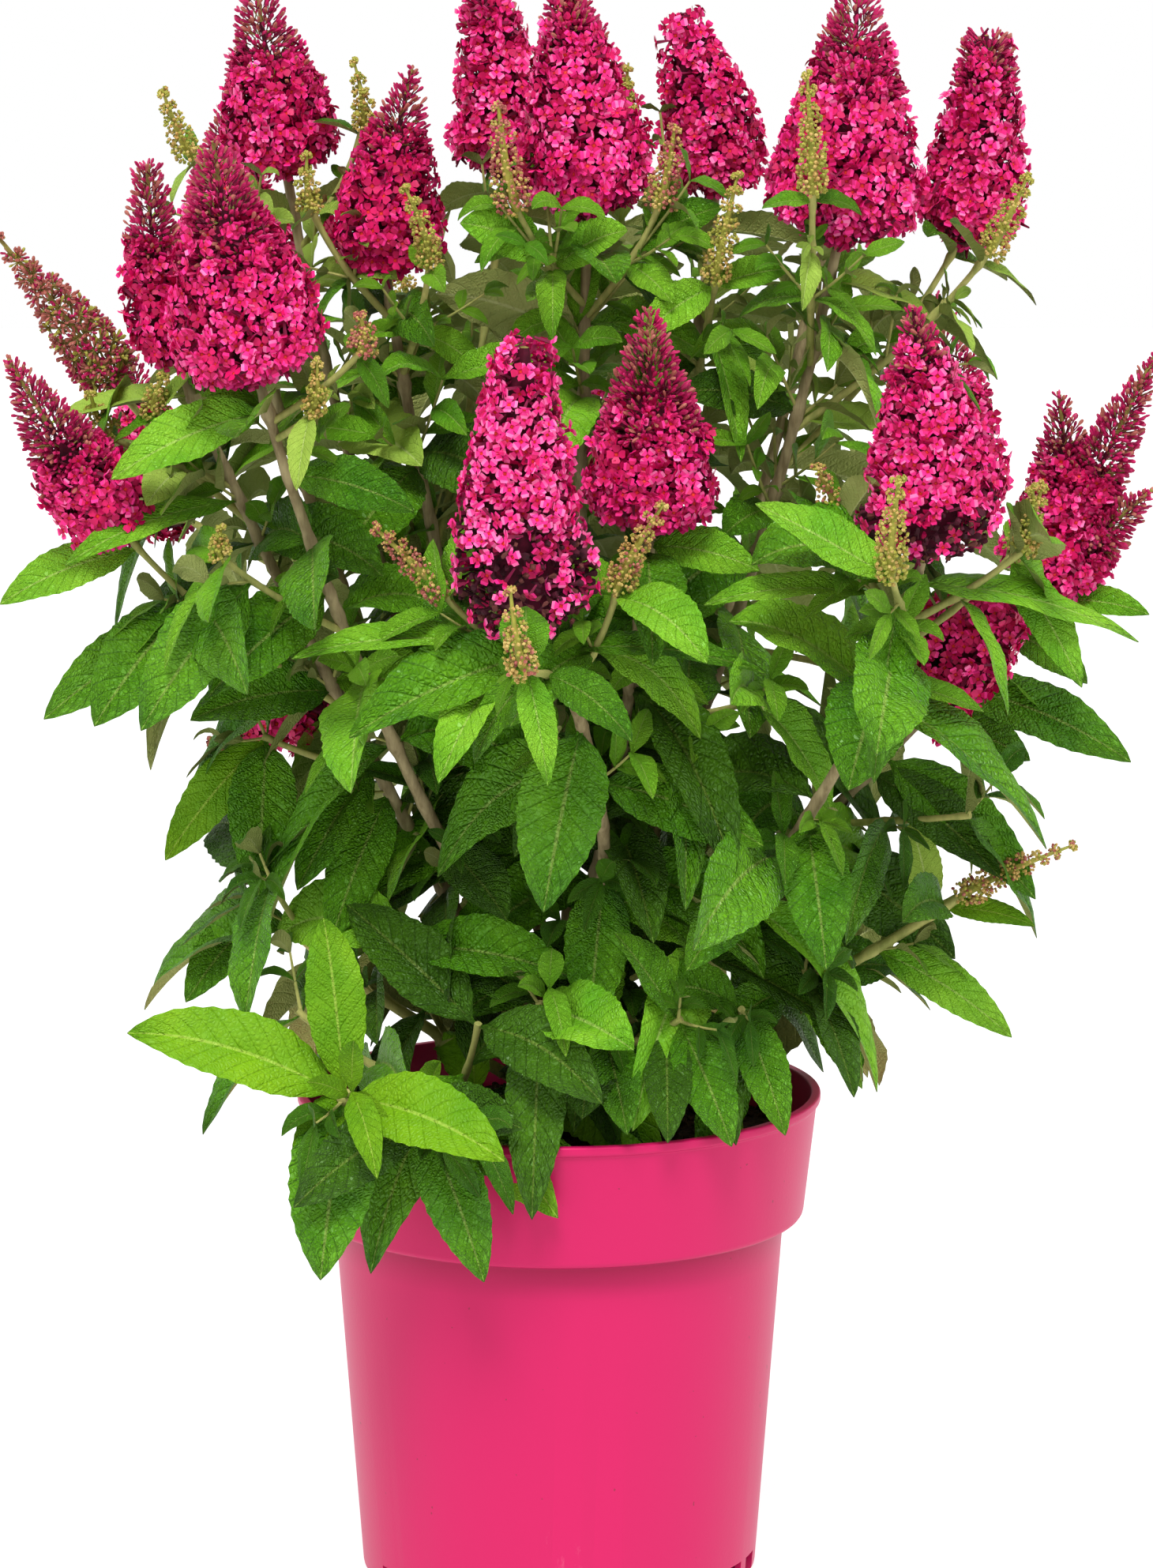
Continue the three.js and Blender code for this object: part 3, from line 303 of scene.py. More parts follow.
def leaf_finish(name, colour, shade, vein, roughness, specular, depth):
    """A living leaf: satin and blistered between its veins, with painted shade in its sunken side veins
    and along the edges of its cells. Eleven sunken side veins run forwards from the pale midrib on each
    side, q = 11 v - 2.1 |c| ** 0.8, and a net of 1.5 mm cells fills between."""
    material, add, shader = finish(name, colour, roughness, specular)
    uv = add("UVMap")
    u, v, _ = add("SeparateXYZ", [uv]).node.outputs
    across = add("Math", [add("Math", [u, 2.0, -1.0], operation="MULTIPLY_ADD")], operation="ABSOLUTE")
    bend = add("Math", [across, 0.8], operation="POWER")
    along = add("Math", [v, 11.0], operation="MULTIPLY")
    saw = add("Math", [add("Math", [bend, -2.1, along], operation="MULTIPLY_ADD")], operation="FRACT")
    ridge = add("Math", [add("Math", [saw, 2.0, -1.0], operation="MULTIPLY_ADD")], operation="ABSOLUTE")
    side_vein = add("Math", [ridge, 7.0], operation="POWER")
    midrib = add("MapRange", [across, 0.06, 0.02])
    place = add("Mapping", {"Vector": uv, "Scale": (16, 46, 1)})
    cells = add("TexVoronoi", {"Vector": place, "Scale": 1.0}, feature="DISTANCE_TO_EDGE")
    blister = add("MapRange", [cells, 0.0, 0.4])
    sunken = add("Math", [side_vein, -0.5], operation="MULTIPLY")
    swell = add("Math", [blister, 0.5, sunken], operation="MULTIPLY_ADD")
    add("Bump", {"Height": swell, "Strength": 1.0, "Distance": depth}, to=shader["Normal"])
    lumps = add("TexNoise", {"Vector": add("TexCoord", out="Object"), "Scale": 26.0, **PLAIN})
    patches = add("MapRange", [lumps, 0.35, 0.68])
    body = add("Mix", {0: patches, 6: lin(colour), 7: lin(shade)}, **RGBA)
    # Painted shade: the green darkens towards the shade colour in the sunken side veins and along the
    # cell edges.
    veins = add("Math", [side_vein, 0.1, 0.35], operation="MULTIPLY_ADD")
    net = add("Math", [blister, -0.35, veins], operation="MULTIPLY_ADD")
    body = add("Mix", {0: net, 6: body, 7: lin(shade)}, **RGBA)
    rib = add("Math", [midrib, 0.45], operation="MULTIPLY")
    add("Mix", {0: rib, 6: body, 7: lin(vein)}, to=shader["Base Color"], **RGBA)
    return material


def soft_finish(name, colour, shade, roughness):
    """Petals, buds and stalks: matt and a little uneven in colour from one to the next."""
    material, add, shader = finish(name, colour, roughness, 0.3)
    lumps = add("TexNoise", {"Vector": add("TexCoord", out="Object"), "Scale": 160.0, **PLAIN})
    tint = add("MapRange", [lumps, 0.35, 0.65])
    add("Mix", {0: tint, 6: lin(colour), 7: lin(shade)}, to=shader["Base Color"], **RGBA)
    return material


def bark_finish(name, colour, shade, depth):
    """Thin young bark: matt, grey-brown, with fine furrows that run along the stem."""
    material, add, shader = finish(name, colour, 0.75, 0.3)
    place = add("TexCoord", out="Object")
    drawn = add("Mapping", {"Vector": place, "Scale": (1, 1, 0.16)})
    furrows = add("TexNoise", {"Vector": drawn, "Scale": 420.0, "Detail": 4.0, "Roughness": 0.6})
    blotches = add("TexNoise", {"Vector": place, "Scale": 60.0, **PLAIN})
    half = add("Math", [furrows, 0.5], operation="MULTIPLY")
    both = add("Math", [blotches, 0.5, half], operation="MULTIPLY_ADD")
    tint = add("MapRange", [both, 0.38, 0.62])
    add("Mix", {0: tint, 6: lin(colour), 7: lin(shade)}, to=shader["Base Color"], **RGBA)
    add("Bump", {"Height": furrows, "Strength": 0.8, "Distance": depth}, to=shader["Normal"])
    return material


def pot_finish():
    """Moulded polypropylene: one even pink with a low sheen, a faint orange-peel skin of 1.5 mm,
    a few pale scuffs some 30 mm long, grains of compost dust, and painted shade under the band that
    fades out over 16 mm."""
    pink = "#c8165c"
    material, add, shader = finish("moulded_polypropylene_pink", pink, 0.42, 0.25)
    place = add("TexCoord", out="Object")
    drawn = add("Mapping", {"Vector": place, "Scale": (1, 1, 0.45)})
    skin = add("TexNoise", {"Vector": place, "Scale": 650.0, "Detail": 2.0, "Roughness": 0.55})
    scuffs = add("TexNoise", {"Vector": drawn, "Scale": 38.0, "Detail": 6.0, "Roughness": 0.75})
    scuffs = add("MapRange", [scuffs, 0.66, 0.78])
    specks = add("TexNoise", {"Vector": place, "Scale": 300.0, "Detail": 1.0, "Roughness": 0.55})
    specks = add("MapRange", [specks, 0.78, 0.8])
    pale = add("Math", [scuffs, 0.22], operation="MULTIPLY")
    body = add("Mix", {0: pale, 6: lin(pink), 7: lin("#ef9db5")}, **RGBA)
    dust = add("Math", [specks, 0.7], operation="MULTIPLY")
    body = add("Mix", {0: dust, 6: body, 7: lin("#7a2a35")}, **RGBA)
    # Painted shade under the band: the pink darkens towards #8e0a3c over the 16 mm below its foot.
    height = add("SeparateXYZ", [place], out=2)
    below = add("Math", [height, 0.161], operation="LESS_THAN")
    painted_shade_under_band = add("Math", [add("MapRange", [height, 0.144, 0.16]), below], operation="MULTIPLY")
    painted_shade_under_band = add("Math", [painted_shade_under_band, 0.6], operation="MULTIPLY")
    add("Mix", {0: painted_shade_under_band, 6: body, 7: lin("#8e0a3c")}, to=shader["Base Color"], **RGBA)
    add("Math", [scuffs, 0.2, 0.4], to=shader["Roughness"], operation="MULTIPLY_ADD")
    add("Bump", {"Height": skin, "Strength": 0.12, "Distance": 0.0004}, to=shader["Normal"])
    return material


def compost_finish():
    """Moist peat and bark compost: nearly black-brown, rough, with paler fibres."""
    material, add, shader = finish("moist_compost", "#2c1e14", 0.95, 0.2)
    place = add("TexCoord", out="Object")
    grains = add("TexNoise", {"Vector": place, "Scale": 420.0, "Detail": 6.0, "Roughness": 0.7})
    tint = add("MapRange", [grains, 0.42, 0.72])
    add("Mix", {0: tint, 6: lin("#1d130d"), 7: lin("#5d432c")}, to=shader["Base Color"], **RGBA)
    add("Bump", {"Height": grains, "Strength": 1.0, "Distance": 0.002}, to=shader["Normal"])
    return material


# Upper leaf skins by age, then the felted underside.
FOLIAGE = [
    leaf_finish("leaf_old", "#538614", "#345c08", "#90a84a", 0.46, 0.32, 0.0022),
    leaf_finish("leaf_grown", "#6eac1a", "#44820a", "#aec464", 0.43, 0.34, 0.0022),
    leaf_finish("leaf_fresh", "#92cc30", "#60a416", "#c2d878", 0.45, 0.28, 0.0012),
    leaf_finish("leaf_young", "#82b216", "#5c9408", "#bcd45c", 0.5, 0.22, 0.0009),
    leaf_finish("leaf_pale", "#b4d05a", "#8eb23e", "#d4e096", 0.6, 0.2, 0.0006),
    leaf_finish("leaf_felted_underside", "#b6bc74", "#929e54", "#d0d49a", 0.85, 0.1, 0.0006),
]
BLOSSOM = [
    soft_finish("petal_light", "#ff7eb6", "#f85aa0", 0.5),
    soft_finish("petal_pink", "#fa3494", "#ec1e7e", 0.5),
    soft_finish("petal_deep", "#da0e62", "#b8084e", 0.5),
    soft_finish("petal_faded", "#4c0d24", "#290a12", 0.8),
    soft_finish("petal_withered", "#6e3a35", "#4a2420", 0.85),
    soft_finish("petal_eye_red", "#e83a1e", "#c01a1c", 0.6),
    # Floret tubes darker than the petals: partly their own crimson, partly painted shade in the gaps
    # between florets.
    soft_finish("petal_tube", "#8c0c44", "#5c0a2a", 0.7),
    soft_finish("bud_magenta", "#cc2066", "#9c124a", 0.45),
    soft_finish("bud_brown_pink", "#bb7566", "#a5554e", 0.55),
    soft_finish("bud_olive", "#b0ab48", "#979a3e", 0.55),
    soft_finish("bud_straw", "#cdb66c", "#bd9450", 0.55),
    # Nearly black core: partly the spike's own dark stalks and tubes, partly painted shade in the gaps.
    soft_finish("spike_core_and_shade", "#5c0828", "#360516", 0.9),
    soft_finish("stalk_green", "#9a9448", "#80703c", 0.8),
]
STEMS = [
    bark_finish("bark_young_grey_brown", "#b3a37a", "#7d6d4c", 0.0006),
    bark_finish("stem_green_felted", "#b6b268", "#8d934c", 0.0003),
]


# ---- Meshes from arrays ----


class Heap:
    """Collects points, faces, finishes and leaf coordinates of one kind, to be laid as one mesh."""

    def __init__(self):
        self.points, self.faces, self.finishes, self.uvs, self.count = [], [], [], [], 0

    def put(self, points, *kinds, uv=None):
        """Puts points in mm with pairs of faces (m, k) into them and one finish for all m, or m."""
        points = np.asarray(points, float).reshape(-1, 3)
        for faces, finish_of in kinds:
            self.faces.append(np.asarray(faces) + self.count)
            self.finishes.append(np.broadcast_to(finish_of, len(faces)))
        self.points.append(points)
        self.uvs.append(np.zeros((len(points), 2)) if uv is None else uv)
        self.count += len(points)

    def put_copies(self, points, *kinds, uv=None):
        """Puts n copies, points (n, p, 3), of a shape whose faces come with one finish for each copy."""
        n, size = points.shape[:2]
        start = (np.arange(n) * size)[:, None, None]
        spread = (((f[None] + start).reshape(-1, f.shape[1]), np.repeat(np.broadcast_to(g, n), len(f)))
                  for f, g in kinds)
        self.put(points, *spread, uv=None if uv is None else np.tile(uv, (n, 1)))

    def lay(self, name, finishes, slot, nodes, crease=60):
        """The mesh of all that was put in, in metres, riding on the one body."""
        corners = np.concatenate([f.ravel() for f in self.faces])
        sizes = np.concatenate([np.full(len(f), f.shape[1]) for f in self.faces])
        mesh = bpy.data.meshes.new(name)
        mesh.vertices.add(self.count)
        mesh.vertices.foreach_set("co", (np.concatenate(self.points) * 0.001).astype(np.float32).ravel())
        mesh.loops.add(len(corners))
        mesh.loops.foreach_set("vertex_index", corners.astype(np.int32))
        mesh.polygons.add(len(sizes))
        mesh.polygons.foreach_set("loop_start", (np.cumsum(sizes) - sizes).astype(np.int32))
        mesh.polygons.foreach_set("loop_total", sizes.astype(np.int32))
        mesh.polygons.foreach_set("material_index", np.concatenate(self.finishes).astype(np.int32))
        for one in finishes:
            mesh.materials.append(one)
        layer = mesh.uv_layers.new(name="UVMap")
        layer.data.foreach_set("uv", np.concatenate(self.uvs)[corners].astype(np.float32).ravel())
        mesh.update(calc_edges=True)
        mesh.validate()
        mesh.polygons.foreach_set("use_smooth", np.ones(len(sizes), bool))
        mesh.set_sharp_from_angle(angle=math.radians(crease))
        piece = bpy.data.objects.new(name, mesh)
        bpy.context.scene.collection.objects.link(piece)
        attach(piece, "root")
        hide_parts(*nodes)
        return piece


def unit(v):
    """v / |v| along the last axis."""
    v = np.asarray(v, float)
    return v / np.maximum(np.linalg.norm(v, axis=-1, keepdims=True), 1e-9)


def chance(a, b, c):
    """The fractional part of sin(12.9898 a + 78.233 b + 37.719 c) * 43758.5453."""
    s = math.sin(a * 12.9898 + b * 78.233 + c * 37.719) * 43758.5453
    return s - math.floor(s)


def angles(sides):
    """The angles of the corners of a regular polygon."""
    return np.arange(sides) / sides * 2 * math.pi


def polar(a, radius, height):
    """The points (r cos a, r sin a, z) of angles, radii and heights."""
    return np.stack(np.broadcast_arrays(radius * np.cos(a), radius * np.sin(a), height), -1)


def around(first, second, a):
    """The directions first cos a + second sin a."""
    return first * np.cos(a)[..., None] + second * np.sin(a)[..., None]


def corners_and_next(sides):
    """The numbers of a ring's corners, and those of the corners that follow them."""
    return np.arange(sides), (np.arange(sides) + 1) % sides


def ring_faces(rows, sides):
    """Quads between successive rings of a tube."""
    j, following = corners_and_next(sides)
    corners = np.stack([j, following, following + sides, j + sides], 1)
    return (np.arange(rows - 1)[:, None, None] * sides + corners).reshape(-1, 4)


def end_faces(rows, sides):
    """The flat faces that close a tube at its first and last ring."""
    j = np.arange(sides)
    return np.array([j[::-1], (rows - 1) * sides + j])


def closed(rings, low, high):
    """Points, quads and end fans of rings (rows, sides, 3), closed by a point at each end."""
    rows, sides = rings.shape[:2]
    points = np.concatenate([rings.reshape(-1, 3), [low, high]])
    j, following = corners_and_next(sides)
    last = (rows - 1) * sides
    fans = [following, j, 0 * j + len(points) - 2], [last + j, last + following, 0 * j + len(points) - 1]
    return points, ring_faces(rows, sides), np.concatenate([np.stack(fan, 1) for fan in fans])


# ---- Curves ----


class Curve:
    """A quadratic Bezier: (1-t)^2 a + 2 t (1-t) b + t^2 c."""

    def __init__(self, a, b, c):
        self.a, self.b, self.c = (np.asarray(p, float) for p in (a, b, c))
        steps = self.at(np.linspace(0, 1, 201))
        self.length = float(np.linalg.norm(np.diff(steps, axis=0), axis=1).sum())

    def at(self, t):
        """The place at t, or at an array of them."""
        t = np.asarray(t, float)[..., None]
        return (1 - t) ** 2 * self.a + 2 * t * (1 - t) * self.b + t**2 * self.c

    def tangent(self, t):
        """The direction at t: (1-t) (b - a) + t (c - b), of unit length."""
        t = np.asarray(t, float)[..., None]
        return unit((1 - t) * (self.b - self.a) + t * (self.c - self.b))

    def frame(self, t):
        """(along, across, over) at t: across is one fixed direction made square to the tangent."""
        along = self.tangent(t)
        fixed = np.array([0.0, 1, 0] if abs(self.tangent(0.5)[0]) > 0.8 else [1.0, 0, 0])
        across = unit(fixed - along * (along @ fixed)[..., None])
        return along, across, np.cross(along, across)


def bowed(start, end, bow, aside=0.0, lift=0.0):
    """A curve whose middle stands bow outwards, aside to the left of its way and lift up."""
    start, end = np.asarray(start, float), np.asarray(end, float)
    out = unit([end[0] - start[0], end[1] - start[1], 0])
    left = np.cross(UP, out)
    return Curve(start, (start + end) / 2 + 2 * bow * out + 2 * aside * left + 2 * lift * UP, end)


def trunk_axis(height):
    """The trunk's middle at a height over the compost, or at an array of them."""
    return np.stack([TRUNK_LEAN * height / TRUNK_HEIGHT, 0 * height, GROUND + height], -1)


def shoots_of(row, number, split):
    """The stem of a limb or spray and its side shoots, as the part's source grows them."""
    stem = bowed(trunk_axis(row["leave"]), row["to"], row["bow"], row.get("aside", 0))
    main = dict(curve=stem, t0=split, seed=10 * number, radius=STEM_RADIUS)
    grown = [dict(row, **main, first=split + 0.1 * (1 - split), rank=0)]
    for i, side in enumerate(row["shoots"], 1):
        start = stem.at(split + (1 - split) * side["at"])
        reach = float(np.linalg.norm(np.subtract(side["to"], start)))
        curve = bowed(start, side["to"], 0.06 * reach, 0, side.get("lift", 0))
        more = dict(curve=curve, t0=0, radius=SIDE_RADIUS, first=0.4, seed=10 * number + i, rank=1)
        grown.append({"tone": row.get("tone"), **side, **more})
    return grown


def put_tube(heap, curve, t, radius, finish_of, ends):
    """A closed tube: the place at t plus radius (across cos a + over sin a). "radius" is (rows,
    sides), "finish_of" one finish or one for each face, and "ends" the finish of both ends."""
    rows, sides = radius.shape
    _, across, over = curve.frame(t)
    ring = around(across[:, None], over[:, None], angles(sides))
    points = curve.at(t)[:, None] + ring * radius[..., None]
    heap.put(points, (ring_faces(rows, sides), finish_of), (end_faces(rows, sides), ends))


# ---- Leaves ----


def leaves_on(shoot):
    """The leaves of one shoot, as (root, heading, along, length, droop, share, own): "own" is what a
    placed leaf says of itself."""
    rows = []
    share = LAST_PAIR - shoot["first"]
    gaps = int(share * shoot["curve"].length / LEAF_SPACING + 0.5)
    for k in range(gaps + 1):
        u = k / gaps if gaps else 1.0
        t = LAST_PAIR - share * (1 - u)
        along, across, over = shoot["curve"].frame(t)
        root = shoot["curve"].at(t)
        small = 1 - SMALL_SHARE * min(max((root[2] - FULL_BELOW) / SMALL_OVER, 0), 1)
        for side in range(2):
            luck = [2 * chance(shoot["seed"], k, side + 2 * n) - 1 for n in range(4)]
            turn = math.radians(shoot["turn"] + 90 * (k + 2 * side) + TURN_LUCK * luck[0])
            rise = math.radians(RISE + TOP_RISE * u**2 + RISE_LUCK * luck[1])
            out = across * math.cos(turn) + over * math.sin(turn)
            heading = out * math.cos(rise) + along * math.sin(rise)
            length = shoot["size"] * small * (1 + LENGTH_LUCK * luck[2])
            droop = DROOP - TOP_DROOP * u**4 + DROOP_LUCK * luck[3]
            rows.append((root, heading, along, length, droop, u, None))
    for own in shoot["placed"]:
        root, along = shoot["curve"].at(own["at"]), shoot["curve"].tangent(own["at"])
        tip = np.array(own["tip"], float)
        far = [np.inf if row[6] else np.linalg.norm(midrib(row, 1.0) - tip) for row in rows]
        rows[int(np.argmin(far))] = (root, *leaf_to(root, along, tip), own["at"], own)
    return rows


def midrib(row, s):
    """root + heading L s (1 - 0.3 d s) - Z L d s^2, the place at share s of a leaf's midrib."""
    root, heading, _, length, droop = row[:5]
    return root + heading * length * s * (1 - SHORTFALL * droop * s) - UP * length * droop * s * s


def leaf_to(root, along, tip):
    """Heading, shoot's direction, length and droop of a leaf that ends at a tip: its length is
    L = (b + sqrt(b^2 + a w^2)) / a, where w is the way to the tip, a = (1 - 0.3 d)^2 - d^2 and
    b = w_z d."""
    way = tip - root
    forward = 1 - SHORTFALL * PLACED_DROOP
    a, b = forward**2 - PLACED_DROOP**2, way[2] * PLACED_DROOP
    length = (b + math.sqrt(b * b + a * (way @ way))) / a
    return (way + UP * length * PLACED_DROOP) / (length * forward), along, length, PLACED_DROOP


def inside_space(p):
    """True where (x/a)^2 + (y/b)^2 + (max(0, z - middle)/h)^6 < 1 and z is above the lowest."""
    level = max(0.0, p[2] - SPACE_MIDDLE) / SPACE_HIGH
    return (p[0] / SPACE_WIDE) ** 2 + (p[1] / SPACE_DEEP) ** 2 + level**6 < 1 and p[2] > SPACE_LOW


def leaf_net(rows):
    """Faces of one leaf. Its points are, for the upper skin, three lines of rows + 1 points at
    c = -0.5, 0 and 0.5, then the same for the lower skin, then two margins of 2 rows + 1 points.
    Both skins are split along the same diagonals, so that they never cross."""
    n = rows + 1
    i = np.arange(rows)
    left, right = 6 * n + 2 * i, 6 * n + 2 * rows + 1 + 2 * i
    skins = []
    for base in (0, 3 * n):
        low, mid, high = base + i, base + n + i, base + 2 * n + i
        cells = [
            (low, mid, mid + 1), (low, mid + 1, low + 1),
            (mid, high, mid + 1), (high, high + 1, mid + 1),
            (left, low, left + 1), (low, low + 1, left + 1), (low + 1, left + 2, left + 1),
            (high, right, right + 1), (high, right + 1, high + 1), (high + 1, right + 1, right + 2),
        ]
        skins.append(np.concatenate([np.stack(cell, 1) for cell in cells]))
    ends = []
    for k, step in ((0, 1), (rows, -1)):
        upper = [k, n + k, 2 * n + k]
        lower = [3 * n + k, 4 * n + k, 5 * n + k]
        ends.append(([6 * n + 2 * k] + lower + [6 * n + 2 * rows + 1 + 2 * k] + upper[::-1])[::step])
    return skins[0], skins[1][:, ::-1], np.array(ends)


BARE_STALK = 0.07  # the share of a leaf's length that is its stalk
OUTLINE_TOP = 0.374  # the largest value of u^0.6 (1-u)^0.85
TOOTH = 0.05  # the depth of a tooth as a share of the half width
STALK_HALF = 0.7  # half the width of the stalk and midrib, in mm
WAVES = 2.3  # waves along a leaf's margin


def lay_leaves(heap, specs, rows):
    """Leaf blades from specs (root, heading, up, length, droop, tone, wide, fold, wave, twist, phase).

    The midrib is root + heading L s (1 - 0.3 d s) - Z L d s^2. The half width is
    W u^0.6 (1-u)^0.85 / 0.374 with u from the stalk's end to the tip, cut by teeth on the margin.
    Across, the blade is folded up by f |c| and its halves are crowned by 0.5 |c| (1 - |c|)."""
    if not specs:
        return
    root, heading, up = (np.array([s[k] for s in specs], float)[:, None, :] for k in range(3))
    length, droop, wide, fold, wave, twist, phase = (
        np.array([s[k] for s in specs], float)[:, None] for k in (3, 4, 6, 7, 8, 9, 10)
    )
    tone = np.array([s[5] for s in specs])
    fine = np.linspace(0, 1, 2 * rows + 1)
    s = fine[None, :]
    forward = (length * s * (1 - SHORTFALL * droop * s))[..., None]
    spine = root + heading * forward - UP * (length * droop * s * s)[..., None]
    run = unit(heading * (1 - 2 * SHORTFALL * droop * s)[..., None] - UP * (2 * droop * s)[..., None])
    side = unit(np.cross(unit(spine[:, -1:] - root), up))
    side = unit(side - run * (side * run).sum(-1, keepdims=True))
    face = np.cross(side, run)
    side, face = around(side, face, twist * (s - 0.2)), around(face, -side, twist * (s - 0.2))
    u = np.clip((s - BARE_STALK) / (1 - BARE_STALK), 0, 1)
    half = wide * length * u**0.6 * (1 - u) ** 0.85 / OUTLINE_TOP + STALK_HALF * (1 - 0.7 * s)
    teeth = 1 - TOOTH * (np.arange(2 * rows + 1) % 2 == 0) * (u > 0.02)
    thick = np.minimum(0.5, 0.004 * length + 0.1) + 0 * half

    def line(c, every, lower):
        """Points at share c of the half width, at every station or every other one."""
        w = half * (teeth if abs(c) == 1 else 1)
        swell = np.sin(2 * math.pi * (WAVES * s + phase + 0.25 * (c > 0)))
        crown = np.tan(fold) * abs(c) + 0.5 * abs(c) * (1 - abs(c))
        height = w * crown + wave * half * abs(c) * swell
        reach = w * c * np.cos(fold)
        lift = height * np.cos(fold) - thick * lower
        return (spine + side * reach[..., None] + face * lift[..., None])[:, ::every]

    # Each line's share c, its step along the blade, and how far it lies below the upper skin.
    lines = [(c, 2, low) for low in (0, 1) for c in (-0.5, 0, 0.5)] + [(c, 1, 0.5) for c in (-1, 1)]
    points = np.concatenate([line(*one) for one in lines], axis=1)
    uv = [np.stack([0 * fine[::every] + 0.5 + c / 2, fine[::every]], 1) for c, every, _ in lines]
    upper, lower, ends = leaf_net(rows)
    heap.put_copies(points, (upper, tone), (lower, UNDER), (ends, tone), uv=np.concatenate(uv))


def leaf_spec(row, tone, rng, width=0.2, face=None):
    """A leaf of the rule with its own width, fold, wave and twist. Its upper face turns to "face", or
    to 0.4 along + 0.4 Z + 0.8 times the way outwards, which counts less within 40 mm of the axis."""
    root, heading, along, length, droop = row[:5]
    away = np.array([root[0], root[1], 0.0]) / max(40.0, math.hypot(root[0], root[1]))
    up = 0.4 * along + 0.4 * UP + 0.8 * away if face is None else face
    wide = width * rng.uniform(0.95, 1.1)
    fold = rng.uniform(0.2, 0.5) * (1.0 if face is None else 0.7)
    twist = rng.uniform(-0.5, 0.5) * (1.0 if face is None else 0.6)
    wave, phase = rng.uniform(0.04, 0.12), rng.uniform()
    return root, heading, up, length, droop, tone, wide, fold, wave, twist, phase


# ---- Stems ----


def stem_tube(heap, curve, t0, t1, r0, r1, sides, finish_of, knots=(), furrow=0.0, seed=0):
    """A tapering stem: rings of radius r0 + (r1 - r0) u, swollen by 0.22 r0 within 3.2 mm of each
    knot and ribbed by a four-sided section, closed at both ends."""
    length = curve.length * (t1 - t0)
    u = np.linspace(0, 1, max(3, int(length / 5)))
    place = u * length
    radius = r0 + (r1 - r0) * u
    for knot in knots:
        radius = radius + 0.22 * r0 * np.exp(-(((place - (knot - t0) * curve.length) / 3.2) ** 2))
    a = angles(sides)[None, :]
    rough = 1 + 0.035 * np.cos(4 * a) + furrow * np.sin(7 * a + 2.1 * np.sin(place[:, None] / 9 + seed))
    put_tube(heap, curve, t0 + (t1 - t0) * u, radius[:, None] * rough, finish_of, finish_of)


def lay_trunk():
    """The trunk and boughs. The trunk's rings are level, its radius r (1 + 0.12 (1-h)^3 cos 3a),
    with furrows 0.5 mm deep that wander round it, and its foot is cut flat at the compost."""
    heap = Heap()
    rows, sides = 60, 40
    level, a = np.linspace(0, 1, rows), angles(sides)[None]
    h = level[:, None]
    lobes = 1 + 0.12 * (1 - h) ** 3 * np.cos(3 * a)
    furrows = 0.45 * np.sin(9 * a + 3 * np.sin(11 * h)) * np.sin(23 * h + 2 * a) ** 2
    r = np.interp(level, *zip(*TRUNK_PROFILE))[:, None] * lobes + furrows
    points = trunk_axis(level * TRUNK_HEIGHT)[:, None] + polar(a, r, 0)
    heap.put(points, (ring_faces(rows, sides), 0), (end_faces(rows, sides), 0))
    for i, row in enumerate(LIMBS):
        stem = shoots_of(row, i + 1, SPLIT)[0]["curve"]
        stem_tube(heap, stem, 0, SPLIT, BOUGH_BASE, BOUGH_TIP, 12, 0, furrow=0.03, seed=i)
    nodes = ["trunk"] + ["bough_" + row["name"] for row in LIMBS]
    heap.lay("trunk_and_boughs", STEMS[:1], "bark", nodes)


# ---- Flowers ----


def floret_shape(curl):
    """One open floret of unit radius, opening along +Z: four broad lobes, their tips raised by curl,
    round a throat that sinks to the eye, and a three-sided tube behind. Returns the points and the
    faces of lobe tips, lobe feet, eye and tube."""
    # A lobe's corners, as (angle from its middle, radius, share of the curl).
    spread, reach, rise = np.array([
        (-0.72, 0.36, 0), (0.72, 0.36, 0), (-0.6, 0.8, 0.4),
        (0.6, 0.8, 0.4), (-0.36, 1.04, 1), (0.36, 1.04, 1),
    ]).T
    between = angles(4) + math.pi / 4
    rings = [(angles(4)[:, None] + spread, reach, curl * rise)]
    rings += [(between, 0.42, 0), (between, 0.25, -0.16)]
    rings += [(angles(3), 0.26, -0.12), (angles(3), 0.14, -1.9)]
    points = np.concatenate([polar(*ring).reshape(-1, 3) for ring in rings])
    lobe = 6 * np.arange(4)[:, None]
    throat, tube = ring_faces(2, 4) + 24, ring_faces(2, 3)[:, [0, 3, 2, 1]] + 32
    feet = np.concatenate([lobe + [0, 2, 3, 1], throat])
    return points, lobe + [2, 4, 5, 3], feet, np.array([[28, 29, 30, 31]]), tube


def club_shape():
    """A closed flower of unit length along +Z: a thin four-sided stalk that swells to a round head of
    unit radius. Returns the points and the faces of stalk, swelling and tip."""
    height, radius = np.array([(0.0, 0.28), (0.45, 0.42), (0.78, 1.0), (0.94, 0.7)]).T[..., None]
    points = np.concatenate([polar(angles(4), radius, height).reshape(-1, 3), [[0, 0, 1.0]]])
    sides = ring_faces(4, 4)
    j, following = corners_and_next(4)
    return points, sides[:4], sides[4:], np.stack([12 + j, 12 + following, 0 * j + 16], 1)


def bead_shape():
    """A small round bud of unit radius: two five-sided rings and two poles."""
    rings = [polar(angles(5) + turn, 0.85, height) for turn, height in ((0, -0.45), (0.6, 0.5))]
    points = np.concatenate(rings + [[[0, 0, -1.0], [0, 0, 1.1]]])
    j, n = corners_and_next(5)
    faces = [(j, n, n + 5), (j, n + 5, j + 5), (n, j, 0 * j + 10), (j + 5, n + 5, 0 * j + 11)]
    return points, np.concatenate([np.stack(face, 1) for face in faces])


